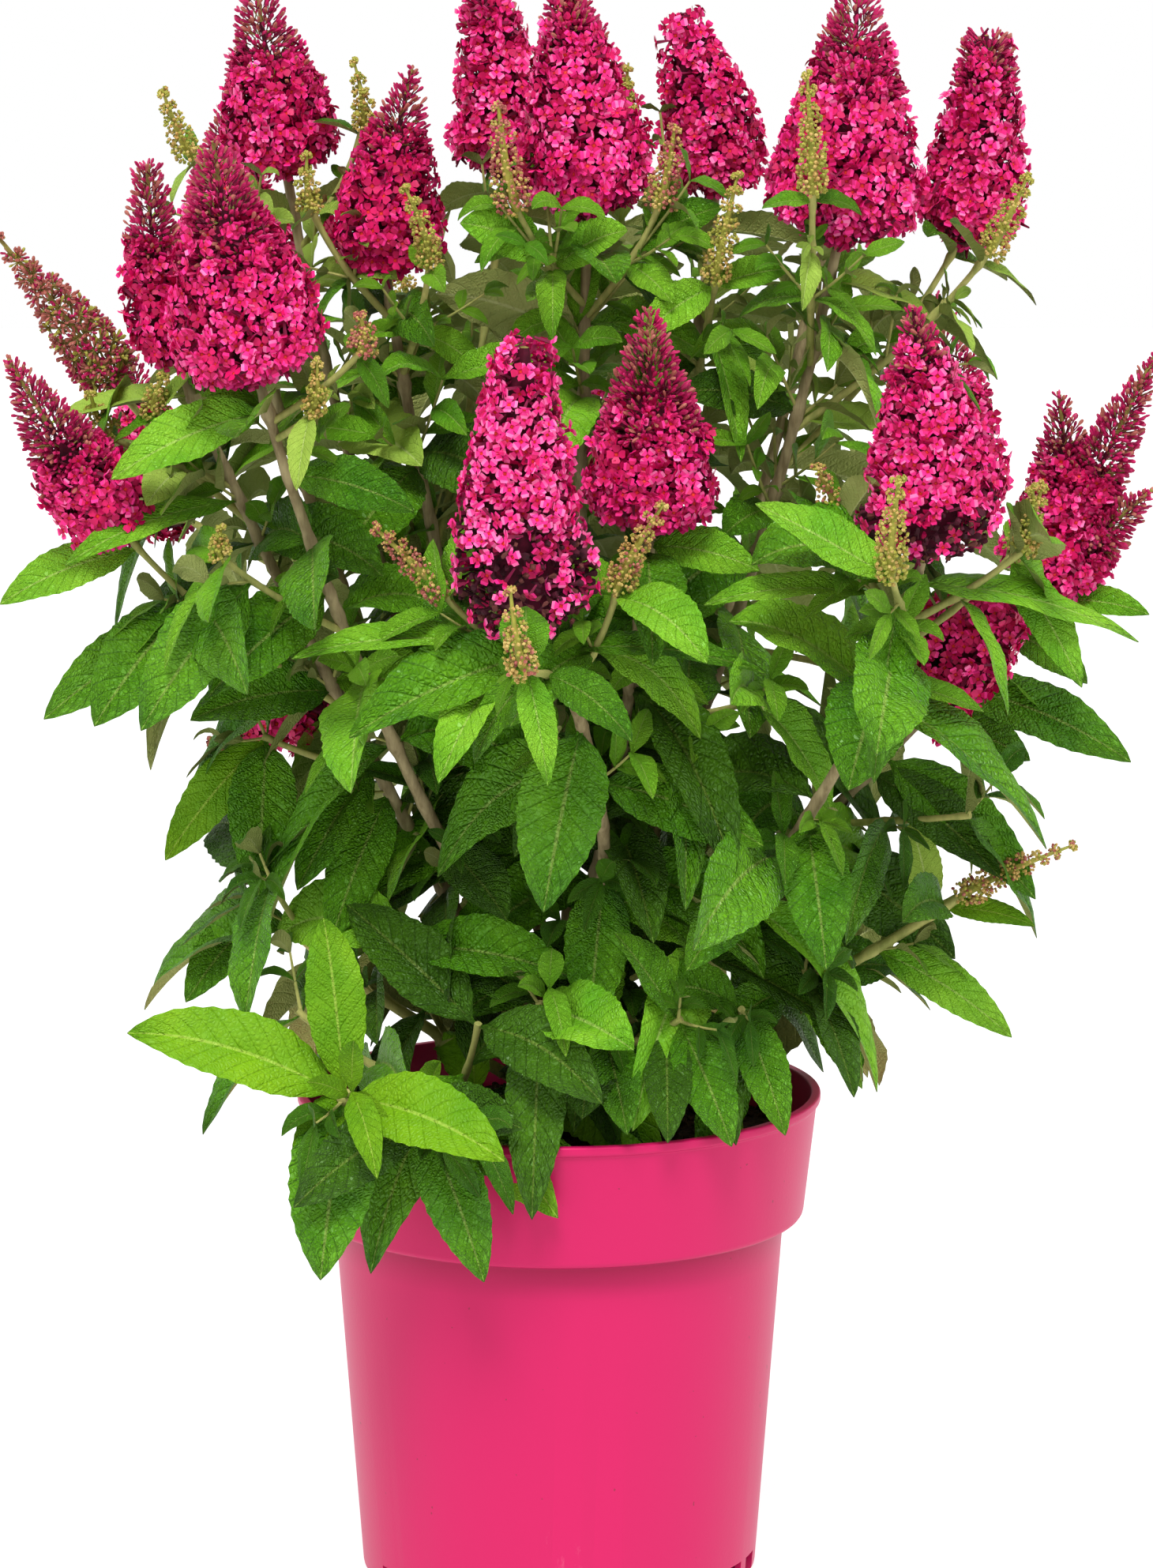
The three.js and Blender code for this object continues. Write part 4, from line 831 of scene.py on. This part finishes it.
FLORETS = [floret_shape(curl) for curl in (-0.3, 0.0, 0.3)]
CLUB = club_shape()
BEAD = bead_shape()
ANY_TURN = (0, 6.28)  # the range of a turn by chance
GOLDEN_TURN = 2.4  # from each bead of a ball to the next
# The finishes of a bud spike's beads, as often as each is drawn.
BUD_KINDS = {
    OLIVE: [OLIVE] * 5 + [STRAW] * 3,
    STRAW: [STRAW] * 5 + [BROWN] * 2 + [OLIVE] * 2,
    BROWN: [BROWN] * 5 + [STRAW] * 3 + [OLIVE],
}


def turned(points, place, facing, size, spin, long=None):
    """Copies of a shape of n points at each place, its +Z along facing, turned by spin about it:
    place + size (x e1 + y e2) + long z facing, where long is the size if it isn't given."""
    helper = np.where(np.abs(facing[:, 2:]) > 0.9, [[1.0, 0, 0]], [[0, 0, 1.0]])
    first = unit(np.cross(helper, facing))
    second = np.cross(facing, first)
    e1, e2 = around(first, second, spin), around(second, -first, spin)
    long = size if long is None else long
    axes = np.stack([e1 * size[:, None], e2 * size[:, None], facing * long[:, None]], 1)
    return place[:, None] + np.einsum("pk,nkc->npc", points, axes)


def spike_curve(curve, tip):
    """The spike leaves in its shoot's direction and bends towards its tip."""
    foot = curve.c
    reach = np.linalg.norm(np.subtract(tip, foot))
    return Curve(foot, foot + curve.tangent(1.0) * 0.3 * reach, tip)


def radius_at(spike, half, t):
    """The radius of a spike at t: the profile's share p, or b + (1 - b) p above its foot if it is
    blunt by b."""
    share, blunt = np.interp(t, SPIKE_PLACES, SPIKE_SHARES), spike["blunt"]
    return half * np.where(np.asarray(t) > 0.3, blunt + (1 - blunt) * share, share)


def places_on(curve, spike, half, rng, spacing, t0, t1):
    """Places spread over a spike, one for each spacing along and around it, jittered by 0.3 of it.
    Returns arrays of centres, directions out, tangents, t, radii and angles."""
    rows = []
    count = max(1, int(curve.length * (t1 - t0) / (0.87 * spacing) + 0.5))
    for k in range(count):
        ring = radius_at(spike, half, t0 + (t1 - t0) * (k + 0.5) / count)
        many = max(3, int(2 * math.pi * ring / spacing + 0.5))
        j = np.arange(many)
        a = 2 * math.pi * (j + 0.5 * (k % 2) + rng.uniform(-0.3, 0.3, many)) / many
        t = t0 + (t1 - t0) * (k + 0.5 + rng.uniform(-0.3, 0.3, many)) / count
        along, across, over = curve.frame(t)
        out = around(across, over, a)
        rows.append((curve.at(t), out, along, t, radius_at(spike, half, t), a))
    return [np.concatenate(column) for column in zip(*rows)]


def lay_florets(heap, at, facing, hue, rng):
    """Open florets of 7 mm, their lobes curled back, flat or forwards."""
    curls = rng.integers(0, len(FLORETS), len(at))
    for curl, (shape, tips, feet, eye, tube) in enumerate(FLORETS):
        place, n = at[curls == curl], facing[curls == curl]
        count = len(place)
        points = turned(shape, place, n, rng.uniform(3.2, 4.1, count), rng.uniform(*ANY_TURN, count))
        tone = np.clip(np.round(hue * 2 + rng.normal(0, 0.55, count)), LIGHT, DEEP).astype(int)
        # The lobe feet and throat are one tone deeper than the tips: painted shade towards the throat.
        inner = np.clip(tone + 1, LIGHT, DEEP)
        heap.put_copies(points, (tips, tone), (feet, inner), (eye, EYE_RED), (tube, TUBE_RED))


def lay_clubs(heap, foot, facing, long, radius, stalk, head, rng):
    """Closed or withered flowers from their feet, each with its own length and head radius."""
    shape, thin, swelling, tip = CLUB
    points = turned(shape, foot, facing, radius, rng.uniform(*ANY_TURN, len(foot)), long)
    heap.put_copies(points, (thin, stalk), (swelling, head), (tip, head))


# The two depths of a spike's florets: their spacing, share of its radius and spread of facing.
DEPTHS = ((6.0, 1.0, 0.42), (7.0, 0.8, 0.6))
# Between clusters of florets: how deep a gap is and how far it is to the next one along the spike,
# in mm, and the number of clusters round it.
SUNK, CLUSTER_STEP, CLUSTERS_ROUND = 4.5, 11, 9


def lay_spike(heap, curve, spike, rng, share=1.0):
    """A flower spike. Florets cover its open part in two depths, sunk by up to 4.5 mm in the gaps
    between clusters, and the inner ones get a deeper pink as painted shade. Above it stand closed
    flowers."""
    half = spike["wide"] * share / 2
    opens, closes = spike["opened"]
    sunk = rng.uniform(-0.6, 1.0, (40, 12)) ** 3 * SUNK
    for spacing, depth, lean in DEPTHS if closes > 0.1 else ():
        places = places_on(curve, spike, half * depth, rng, spacing, 0.03, closes)
        centre, out, along, t, ring, a = places
        row, column = t * curve.length / CLUSTER_STEP, a / 6.2832 * CLUSTERS_ROUND
        cell = sunk[row.astype(int) % 40, column.astype(int) % 12]
        stand = ring - cell - 1.2 + rng.normal(0, 1.0, len(t))
        at = centre + out * np.maximum(stand, 0.5)[:, None]
        facing = unit(out + 0.1 * along + rng.normal(0, lean, out.shape))
        limit = closes - 0.12 * rng.uniform(size=len(t)) ** 2
        withered = (t < opens + rng.uniform(-0.1, 0.06, len(t))) & (rng.uniform(size=len(t)) < 0.84)
        fresh = ~withered & (t < limit)
        # The inner florets are painted a deeper pink: painted shade beneath the outer ones.
        lay_florets(heap, at[fresh], facing[fresh], spike["hue"] + (0.7 if depth < 1 else 0), rng)
        at, facing = at[withered], facing[withered]
        if len(at):
            long = rng.uniform(5, 8, len(at))
            wide = rng.uniform(1.0, 1.9, len(at))
            dark = rng.choice([FADED, WITHERED, DEEP], len(at), p=[0.62, 0.3, 0.08])
            lay_clubs(heap, at - facing * long[:, None], facing, long, wide, FADED, dark, rng)
    if spike["bunched"]:
        lay_bunches(heap, curve, spike, half, closes, rng)
    elif closes < 0.97:
        lay_pins(heap, curve, spike, half, closes, rng)
    lay_core(heap, curve, spike, half, closes)


def lay_pins(heap, curve, spike, half, closes, rng):
    """The tight part of a spike that is still in bud: a long closed flower for each 3.1 mm along and
    around it. They stand out from the core like pins and lean to the tip, by 0.2 + 1.1 q of the way
    out, where q is the share of the bud part below them."""
    first = max(closes - 0.16, 0.02)
    centre, out, along, t, ring, _ = places_on(curve, spike, half, rng, 3.1, first, 0.99)
    q = (t - first) / (1 - first)
    facing = unit(out + (0.2 + 1.1 * q)[:, None] * along + rng.normal(0, 0.24, out.shape))
    long = np.minimum(rng.uniform(5.5, 9.5, len(t)), 1.1 * ring + 3.0)
    tip = centre + out * (ring + rng.uniform(-2.2, 1.4, len(t)) * np.minimum(1, ring / 6))[:, None]
    wide = rng.uniform(0.75, 1.15, len(t)) * (1 - 0.2 * q)
    head = np.where(rng.uniform(size=len(t)) < 0.08 + 0.3 * q, BROWN, MAGENTA)
    stalk = np.where(rng.uniform(size=len(t)) < 0.3, STALK, TUBE_RED)
    lay_clubs(heap, tip - facing * long[:, None], facing, long, wide, stalk, head, rng)


def over_ball(lead, along, count, cap, first, turn, jitter, rng):
    """Spins and directions from a ball's heart: a spiral of golden turns over a share cap / 2 of the
    ball about "lead", the k-th of them tilted by acos(1 - cap (k + first) / count)."""
    side = unit(np.cross(along, lead))
    over = np.cross(lead, side)
    for k in range(count):
        tilt, spin = math.acos(1 - cap * (k + first) / count), GOLDEN_TURN * k + turn
        n = lead * math.cos(tilt) + around(side, over, spin) * math.sin(tilt)
        yield spin, unit(n + rng.normal(0, jitter, n.shape))


def lay_bunches(heap, curve, spike, half, closes, rng):
    """The part of a spike that is still in bud: a bunch for each 8.8 mm along and around it, each on
    its own stalk from the core. Twelve clubs of a bunch fan out over a ball of up to 5.4 mm. They are
    magenta and olive at the spike's foot and brown at its tip."""
    first = max(closes - 0.14, 0.02)
    centre, out, along, t, ring, a = places_on(curve, spike, half, rng, 8.8, first, 0.985)
    count = len(t)
    ball = np.minimum(5.4, 0.85 * ring) * rng.uniform(0.8, 1.15, count)
    heart = centre + out * np.maximum(ring - ball, 0.12 * ring)[:, None]
    foot = centre + out * (0.1 * ring)[:, None] - along * (0.4 * ring)[:, None]
    way = heart - foot
    thin = np.full(count, 0.75)
    lay_clubs(heap, foot, unit(way), np.linalg.norm(way, axis=1), thin, STALK, STALK, rng)
    deep = np.clip((t - closes) / max(1 - closes, 0.05), 0, 1)
    for _, n in over_ball(unit(out + 0.5 * along), along, 12, 1.0, 0.5, a, 0.16, rng):
        long = (ball + 0.6) * rng.uniform(0.8, 1.0, count)
        wide = rng.uniform(0.75, 1.0, count) * (1 - 0.2 * deep)
        brown = rng.uniform(size=count) < 0.3 + 0.6 * deep
        head = np.where(brown, BROWN, rng.choice([MAGENTA, OLIVE], count, p=[0.65, 0.35]))
        lay_clubs(heap, heart, n, long, wide, STALK, head, rng)


def lay_core(heap, curve, spike, half, closes):
    """The heart of tubes and stalks under the florets, nearly black: partly their own dark crimson,
    partly painted shade in the gaps between florets. Its rings are half the spike's radius, and thin to
    a green stalk where it is still in bud."""
    rows, sides = 24, 8
    t = np.linspace(0, 0.97, rows)
    full = radius_at(spike, half, t)
    fade = np.clip((t - closes + 0.15) / 0.15, 0, 1)
    radius = 0.5 * full * (1 - fade) + np.minimum(0.9, 0.2 * full + 0.3) * fade
    lumps = 1 + 0.15 * np.sin(3 * angles(sides)[None] + 54 * t[:, None])
    stalk = (t[:-1] < 0.03) | (t[:-1] > closes + 0.08)
    # The core's near-black finish is partly painted shade in the gaps between florets.
    tint = np.repeat(np.where(stalk, STALK, CORE_AND_SHADE), sides)
    put_tube(heap, curve, t, radius[:, None] * lumps, tint, STALK)


def lay_buds(heap, curve, wide, kind, rng):
    """A spike of green buds: knots of round beads, four to a whorl and 5.2 mm from whorl to whorl, on
    a thin stalk. Each knot is a ball of half the spike's radius, beaded on its outer side."""
    whorls = max(4, int(curve.length / 5.2))
    whorl, place = np.repeat(np.arange(whorls), 4), np.tile(np.arange(4), whorls)
    t = (whorl + 0.6 + rng.uniform(-0.2, 0.2, 4 * whorls)) / whorls
    turn = 1.57 * place + 0.79 * whorl + rng.uniform(-0.25, 0.25, len(t))
    along, across, over = curve.frame(t)
    ring = wide / 2 * np.interp(t, [0, 0.12, 0.5, 0.85, 1], [0.75, 1.1, 0.95, 0.62, 0.35])
    out = unit(around(across, over, turn) + 0.3 * along)
    ball = 0.5 * ring * rng.uniform(0.75, 1.3, len(t))
    heart = curve.at(t) + out * ((ring - ball) * rng.uniform(0.85, 1.3, len(t)))[:, None]
    for spin, n in over_ball(out, along, 11, 1.2, 0.4, turn, 0.15, rng):
        size = rng.uniform(0.75, 1.1, len(t)) * (1 - 0.25 * t)
        at = heart + n * np.maximum(ball - 0.4, 0.3)[:, None]
        points = turned(BEAD[0], at, n, size, spin)
        heap.put_copies(points, (BEAD[1], rng.choice(BUD_KINDS[kind], len(t))))
    t = np.linspace(0, 0.98, 8)
    radius = wide / 2 * np.interp(t, [0, 0.1, 0.5, 1], [0.2, 0.32, 0.24, 0.08])
    put_tube(heap, curve, t, np.repeat(radius[:, None], 6, axis=1), OLIVE, STALK)


# ---- Crown ----

GROUPS = {
    "left": ["left_front", "left", "left_back"],
    "middle": ["centre_left", "centre", "right_inner"],
    "front": ["front", "front_right"],
    "right": ["right_mid", "right_front", "right"],
    "back": ["back_left", "back", "back_right"],
    "low": ["low_front_left", "low_front", "low_right", "low_left", "low_back"],
}
# The greens of a shoot's leaves and the share of each, by the shoot's own tone.
TONES = {
    None: ([OLD, GROWN, FRESH], [0.2, 0.55, 0.25]),
    YOUNG: ([FRESH, YOUNG], [0.15, 0.85]),
    OLD: ([OLD, GROWN], [0.7, 0.3]),
}
TOP_TONES = ([GROWN, FRESH, PALE], [0.25, 0.45, 0.3])
# Over NEW_GROWTH the youngest leaves are fresh, over THICK_GROWTH there are more axil twigs, and over
# TOP_GROWTH all leaves have the tones of the top. Within DENSE of the axis most leaves are old and dark:
# partly for their age, partly as painted shade inside the crown.
NEW_GROWTH, THICK_GROWTH, TOP_GROWTH, DENSE = 350, 470, 500, 75
TWIG_CHANCE, THICK_TWIG_CHANCE, TWIG_ROOT, TWIG_TIP = 0.5, 0.95, 0.8, 0.5  # and a twig's radii
CROWNED = 0.88  # over this share of a shoot that ends in a spike there are no axil twigs


def axil_twig(row, rng):
    """A short twig from a leaf's axil: it leans 45 degrees out from the stem, with two pairs of small
    leaves. It is longer and has three pairs over 470 mm up, within 150 mm of the middle."""
    root, heading, along, length = row[:4]
    high = root[2] > THICK_GROWTH and root[1] > -60 and abs(root[0]) < 150
    out = unit(heading + 0.9 * along)
    reach = rng.uniform(24, 40) if high else rng.uniform(10, 26) * min(1.0, length / 60)
    twig = Curve(root, root + out * 0.5 * reach, root + out * reach + UP * 0.12 * reach)
    leaves = []
    for pair, t in enumerate((0.3, 0.65, 1.0) if high else (0.55, 1.0)):
        onwards, across, over = twig.frame(t)
        for side in (0, 1):
            a = rng.uniform(-0.5, 0.5) + 1.57 * pair + math.pi * side
            rise = rng.uniform(0.5, 0.9)
            aside = across * math.cos(a) + over * math.sin(a)
            lead = aside * math.cos(rise) + onwards * math.sin(rise)
            size = rng.uniform(0.34, 0.66 if high else 0.46) * length * (1.0 if pair else 0.8)
            leaves.append((twig.at(t), lead, onwards, size, rng.uniform(0.1, 0.55)))
    return twig, leaves


def tone_of(pair, shoot, rng):
    """The green of a leaf of the rule: by its shoot, its place and chance, or its own."""
    root, own = pair[0], pair[6]
    tones, weights = TONES[shoot.get("tone")]
    tone = rng.choice(tones, p=weights)
    if pair[5] == 1.0 and shoot["rank"] and root[2] > NEW_GROWTH:
        tone = max(tone, FRESH)
    # Partly the age of the leaves, partly painted shade inside the crown: low leaves near the axis
    # mostly take the darkest green.
    if math.hypot(root[0], root[1]) < DENSE and root[2] < TOP_GROWTH and shoot.get("tone") is None:
        tone = OLD if rng.uniform() < 0.7 else tone
    if root[2] > TOP_GROWTH:
        tone = rng.choice(TOP_TONES[0], p=TOP_TONES[1])
    return tone if own is None or own["tone"] is None else own["tone"]


def grow(name, rows):
    """Leaves, stems and blossom of one group of limbs and sprays, laid as three pieces."""
    leaves, stems, blossom = Heap(), Heap(), Heap()
    large, small, leaf_nodes, bloom_nodes = [], [], [], []
    for number, row in rows:
        rng = np.random.default_rng(1000 + number)
        limbed = number <= len(LIMBS)
        leaf_nodes.append("leaves_" + row["name"])
        flowering = 0
        for shoot in shoots_of(row, number, SPLIT if limbed else 0.0):
            curve = shoot["curve"]
            pairs = leaves_on(shoot)
            reach = LAST_PAIR - shoot["first"]
            knots = [k if own else LAST_PAIR - reach * (1 - k) for *_, k, own in pairs]
            thick, thin = shoot["radius"], shoot["radius"] * TIP_SHARE
            look = (12, 0, knots, 0.03) if shoot["rank"] == 0 and limbed else (8, 1, knots, 0)
            stem_tube(stems, curve, shoot["t0"], 1, thick, thin, *look, shoot["seed"])
            for pair in pairs:
                height, share, own = pair[0][2], pair[5], pair[6]
                tone = tone_of(pair, shoot, rng)
                if inside_space(midrib(pair, 1.0)):
                    shape = (own["wide"], own["face"]) if own else ()
                    large.append(leaf_spec(pair, tone, rng, *shape))
                crowned = share > CROWNED and (shoot["blooms"] or shoot["buds"])
                likely = TWIG_CHANCE if height < THICK_GROWTH else THICK_TWIG_CHANCE
                if not crowned and rng.uniform() < likely:
                    twig, more = axil_twig(pair, rng)
                    stem_tube(stems, twig, 0, 1, TWIG_ROOT, TWIG_TIP, 6, 1)
                    newer = max(tone, FRESH if height > NEW_GROWTH else GROWN)
                    inside = [one for one in more if inside_space(one[0] + one[1] * one[3])]
                    small += [leaf_spec(one, newer, rng, 0.17) for one in inside]
            for spike in shoot["blooms"]:
                flowering += 1
                bloom_nodes.append("bloom_" + row["name"] + (f"_{flowering}" if flowering > 1 else ""))
                middle = spike_curve(curve, spike["tip"])
                lay_spike(blossom, middle, spike, rng)
                foot = middle.at(0.12)
                for tip in spike["lobes"]:
                    side = Curve(foot, (foot + tip) / 2, tip)
                    lay_spike(blossom, side, dict(spike, opened=(0, 0.48)), rng, 0.62)
            for spike in shoot["buds"]:
                lay_buds(blossom, spike_curve(curve, spike["tip"]), spike["wide"], spike["kind"], rng)
    lay_leaves(leaves, large, 12)
    lay_leaves(leaves, small, 5)
    leaves.lay("leaves_of_" + name, FOLIAGE, "foliage", leaf_nodes)
    stems.lay("stems_of_" + name, STEMS, "bark", leaf_nodes)
    if blossom.count:
        blossom.lay("blossom_of_" + name, BLOSSOM, "blossom", bloom_nodes, crease=40)


# ---- Pot and compost ----


def rounded(corners, steps=5):
    """A profile of (r, z, fillet) corners, each rounded by a quadratic arc of that reach."""
    out = []
    for k, (r, z, fillet) in enumerate(corners):
        p = np.array([r, z], float)
        if not fillet:
            out.append(p)
            continue
        a = p + unit(np.array(corners[k - 1][:2]) - p) * fillet
        b = p + unit(np.array(corners[k + 1][:2]) - p) * fillet
        s = np.linspace(0, 1, steps)[:, None]
        out.extend((1 - s) ** 2 * a + 2 * s * (1 - s) * p + s**2 * b)
    return np.array(out)


def lay_pot():
    """A moulded pot: its rounded profile turned about the axis, with the drain slots cut through the
    corner of its foot by boxes."""
    band, lip = POT_HEIGHT - BAND_HEIGHT, POT_HEIGHT - LIP_HEIGHT
    slope = (RIM_RADIUS - LIP_STEP - BAND_FOOT_RADIUS) / (BAND_HEIGHT - LIP_HEIGHT)
    profile = rounded([
        (0, 0, 0), (FOOT_RADIUS - 6, 0, 0.5), (FOOT_RADIUS, 0.4, 2.4), (WALL_TOP_RADIUS, band - 1, 1.2),
        (BAND_FOOT_RADIUS, band + 0.5, 2.6), (RIM_RADIUS - LIP_STEP, lip - 0.6, 1.0),
        (RIM_RADIUS, lip + 0.2, 1.0), (RIM_RADIUS, POT_HEIGHT, 1.2),
        (RIM_RADIUS - WALL - LIP_STEP, POT_HEIGHT, 0.8),
        (BAND_FOOT_RADIUS - WALL + slope, band + 3, 2), (WALL_TOP_RADIUS - WALL, band, 2),
        (FOOT_RADIUS - WALL, FLOOR_THICK, 2), (0, FLOOR_THICK, 0),
    ])
    radius, height = profile[1:-1].T[..., None]
    rings = polar(angles(160), radius, height)
    points, quads, fans = closed(rings, [0, 0, 0], [0, 0, FLOOR_THICK])
    heap, slots = Heap(), Heap()
    heap.put(points, (quads, 0), (fans, 0))
    crease = 35
    pot = heap.lay("pot_moulded", [pot_finish()], "pot_plastic", ["pot"], crease)
    box = np.array([[x, y, z] for z in (-1, 1) for y in (-1, 1) for x in (-1, 1)], float)
    cube = [[0, 2, 3, 1], [4, 5, 7, 6], [0, 1, 5, 4], [2, 6, 7, 3], [0, 4, 6, 2], [1, 3, 7, 5]]
    for group in range(DRAIN_GROUPS):
        for side in (-0.5, 0.5):
            p = box * [DRAIN_WIDTH / 2, DRAIN_DEPTH / 2, DRAIN_HEIGHT]
            p = p + [side * (DRAIN_WIDTH + DRAIN_RIB), -FOOT_RADIUS, 0]
            a = math.radians(DRAIN_FIRST_TURN + 360 / DRAIN_GROUPS * group)
            c, s = math.cos(a), math.sin(a)
            slots.put(p @ np.array([[c, s, 0], [-s, c, 0], [0, 0, 1]]), (cube, 0))
    cutter = bpy.data.objects.new("slots", bpy.data.meshes.new("slots"))
    corners = (np.concatenate(slots.points) * 0.001).tolist()
    cutter.data.from_pydata(corners, [], np.concatenate(slots.faces).tolist())
    bpy.context.scene.collection.objects.link(cutter)
    cut = pot.modifiers.new("drain", "BOOLEAN")
    cut.object, cut.operation, cut.solver = cutter, "DIFFERENCE", "EXACT"
    graph = bpy.context.evaluated_depsgraph_get()
    mesh = bpy.data.meshes.new_from_object(pot.evaluated_get(graph))
    pot.modifiers.clear()
    pot.data = mesh
    bpy.data.objects.remove(cutter)
    mesh.set_sharp_from_angle(angle=math.radians(crease))


def lay_compost():
    """Crumbly compost: z = edge + 6 (1 - q^2) plus lumps, q the share of the radius, over a short
    closed drum, with loose crumbs sunk into it."""
    rng = np.random.default_rng(7)
    edge = RIM_RADIUS - LIP_STEP - WALL - 2.6
    a = angles(120)
    q = np.linspace(0.01, 1, 40)[:, None]
    # Waves of four sizes: their height in mm, frequency, turn and shift.
    waves = ((1.1, 1.3, 0.2, 0.5), (0.8, 2.7, 1.7, 1.1), (0.5, 4.9, 2.9, 2.3), (0.4, 7.7, 0.8, 4.0))
    lumps = sum(
        h * np.sin(f * q * np.cos(a + p) * 10 + s) * np.cos(f * q * np.sin(a - p) * 10 + 2 * s)
        for h, f, p, s in waves
    )
    z = COMPOST_EDGE + (COMPOST_CROWN - COMPOST_EDGE) * (1 - q**2) + lumps - 1.4
    foot = COMPOST_EDGE - 22
    rings = np.concatenate([polar(a, edge - 3, foot)[None], polar(a, edge * q, z)[::-1]])
    points, quads, fans = closed(rings, [0, 0, foot], [0, 0, z[0].mean()])
    heap = Heap()
    heap.put(points, (quads, 0), (fans, 0))
    count = 900
    r = (edge - 3) * np.sqrt(rng.uniform(0, 1, count))
    turn = rng.uniform(*ANY_TURN, count)
    place = polar(turn, r, COMPOST_EDGE + 6 * (1 - (r / edge) ** 2) - 0.4)
    facing = unit(rng.normal(0, 1, (count, 3)))
    size = rng.uniform(0.8, 2.6, count)
    crumbs = turned(BEAD[0] * [1, 0.7, 1.3], place, facing, size, turn)
    heap.put_copies(crumbs, (BEAD[1], 0))
    heap.lay("compost_crumbs", [compost_finish()], "compost", ["compost"], crease=50)


# ---- Scene ----

lay_pot()
lay_compost()
lay_trunk()
numbered = list(enumerate(LIMBS + SPRAYS, 1))
for group, members in GROUPS.items():
    grow(group, [(i, row) for i, row in numbered if row["name"] in members])


def stage():
    """A wide pale floor, faintly lit from below as a light table is, a bright even backdrop, and four
    soft lights from far off: the strongest high in front, weaker ones from both sides and behind."""
    floor = bpy.data.meshes.new("floor")
    floor.from_pydata([(-6, -6, 0), (6, -6, 0), (6, 6, 0), (-6, 6, 0)], [], [(0, 1, 2, 3)])
    white = (1, 1, 1, 1)
    glow = {"Emission Color": white, "Emission Strength": 0.8}
    floor.materials.append(finish("floor_matt_white", "#989898", 0.9, 0.1, **glow)[0])
    ground = bpy.data.objects.new("floor", floor)
    bpy.context.scene.collection.objects.link(ground)
    world = bpy.data.worlds.new("studio_white")
    bpy.context.scene.world = world
    world.use_nodes = True
    add = functools.partial(node, world.node_tree)
    # What lights the plant is weaker than what the camera sees behind it.
    lit = add("Background", {"Color": white, "Strength": 0.42})
    seen = add("Background", {"Color": white, "Strength": 1.0})
    inputs = [add("LightPath", out="Is Camera Ray"), lit, seen]
    add("MixShader", inputs, to=world.node_tree.nodes["World Output"].inputs["Surface"])
    # Each light's name, direction, strength and the angle that it fills, in degrees.
    lights = [
        ("key", (-0.15, -1.1, 1.7), 2.6, 22),
        ("right", (1.4, -0.7, 0.8), 1.0, 50),
        ("left", (-1.2, -1.0, 1.0), 0.7, 50),
        ("back", (-0.3, 1.2, 1.4), 0.6, 50),
    ]
    for name, (x, y, z), strength, spread in lights:
        data = bpy.data.lights.new(name, "SUN")
        data.energy, data.angle = strength, math.radians(spread)
        lamp = bpy.data.objects.new(name, data)
        bpy.context.scene.collection.objects.link(lamp)
        lamp.rotation_euler = (math.atan2(math.hypot(x, y), z), 0, math.atan2(-y, -x) - math.pi / 2)


def camera():
    """A long lens 2.5 m in front, a little above the crown's middle, looking down by 9.7 degrees."""
    data = bpy.data.cameras.new("camera")
    data.sensor_fit, data.sensor_width, data.lens = "AUTO", 36.0, 133.6
    data.dof.use_dof = False
    eye = bpy.data.objects.new("camera", data)
    bpy.context.scene.collection.objects.link(eye)
    eye.location = (0.0077, -2.5, 0.778)
    eye.rotation_euler = (math.radians(90 - 9.7), 0, 0)
    bpy.context.scene.camera = eye


stage()
camera()
bpy.context.scene.view_settings.view_transform = "Standard"
bpy.context.view_layer.update()
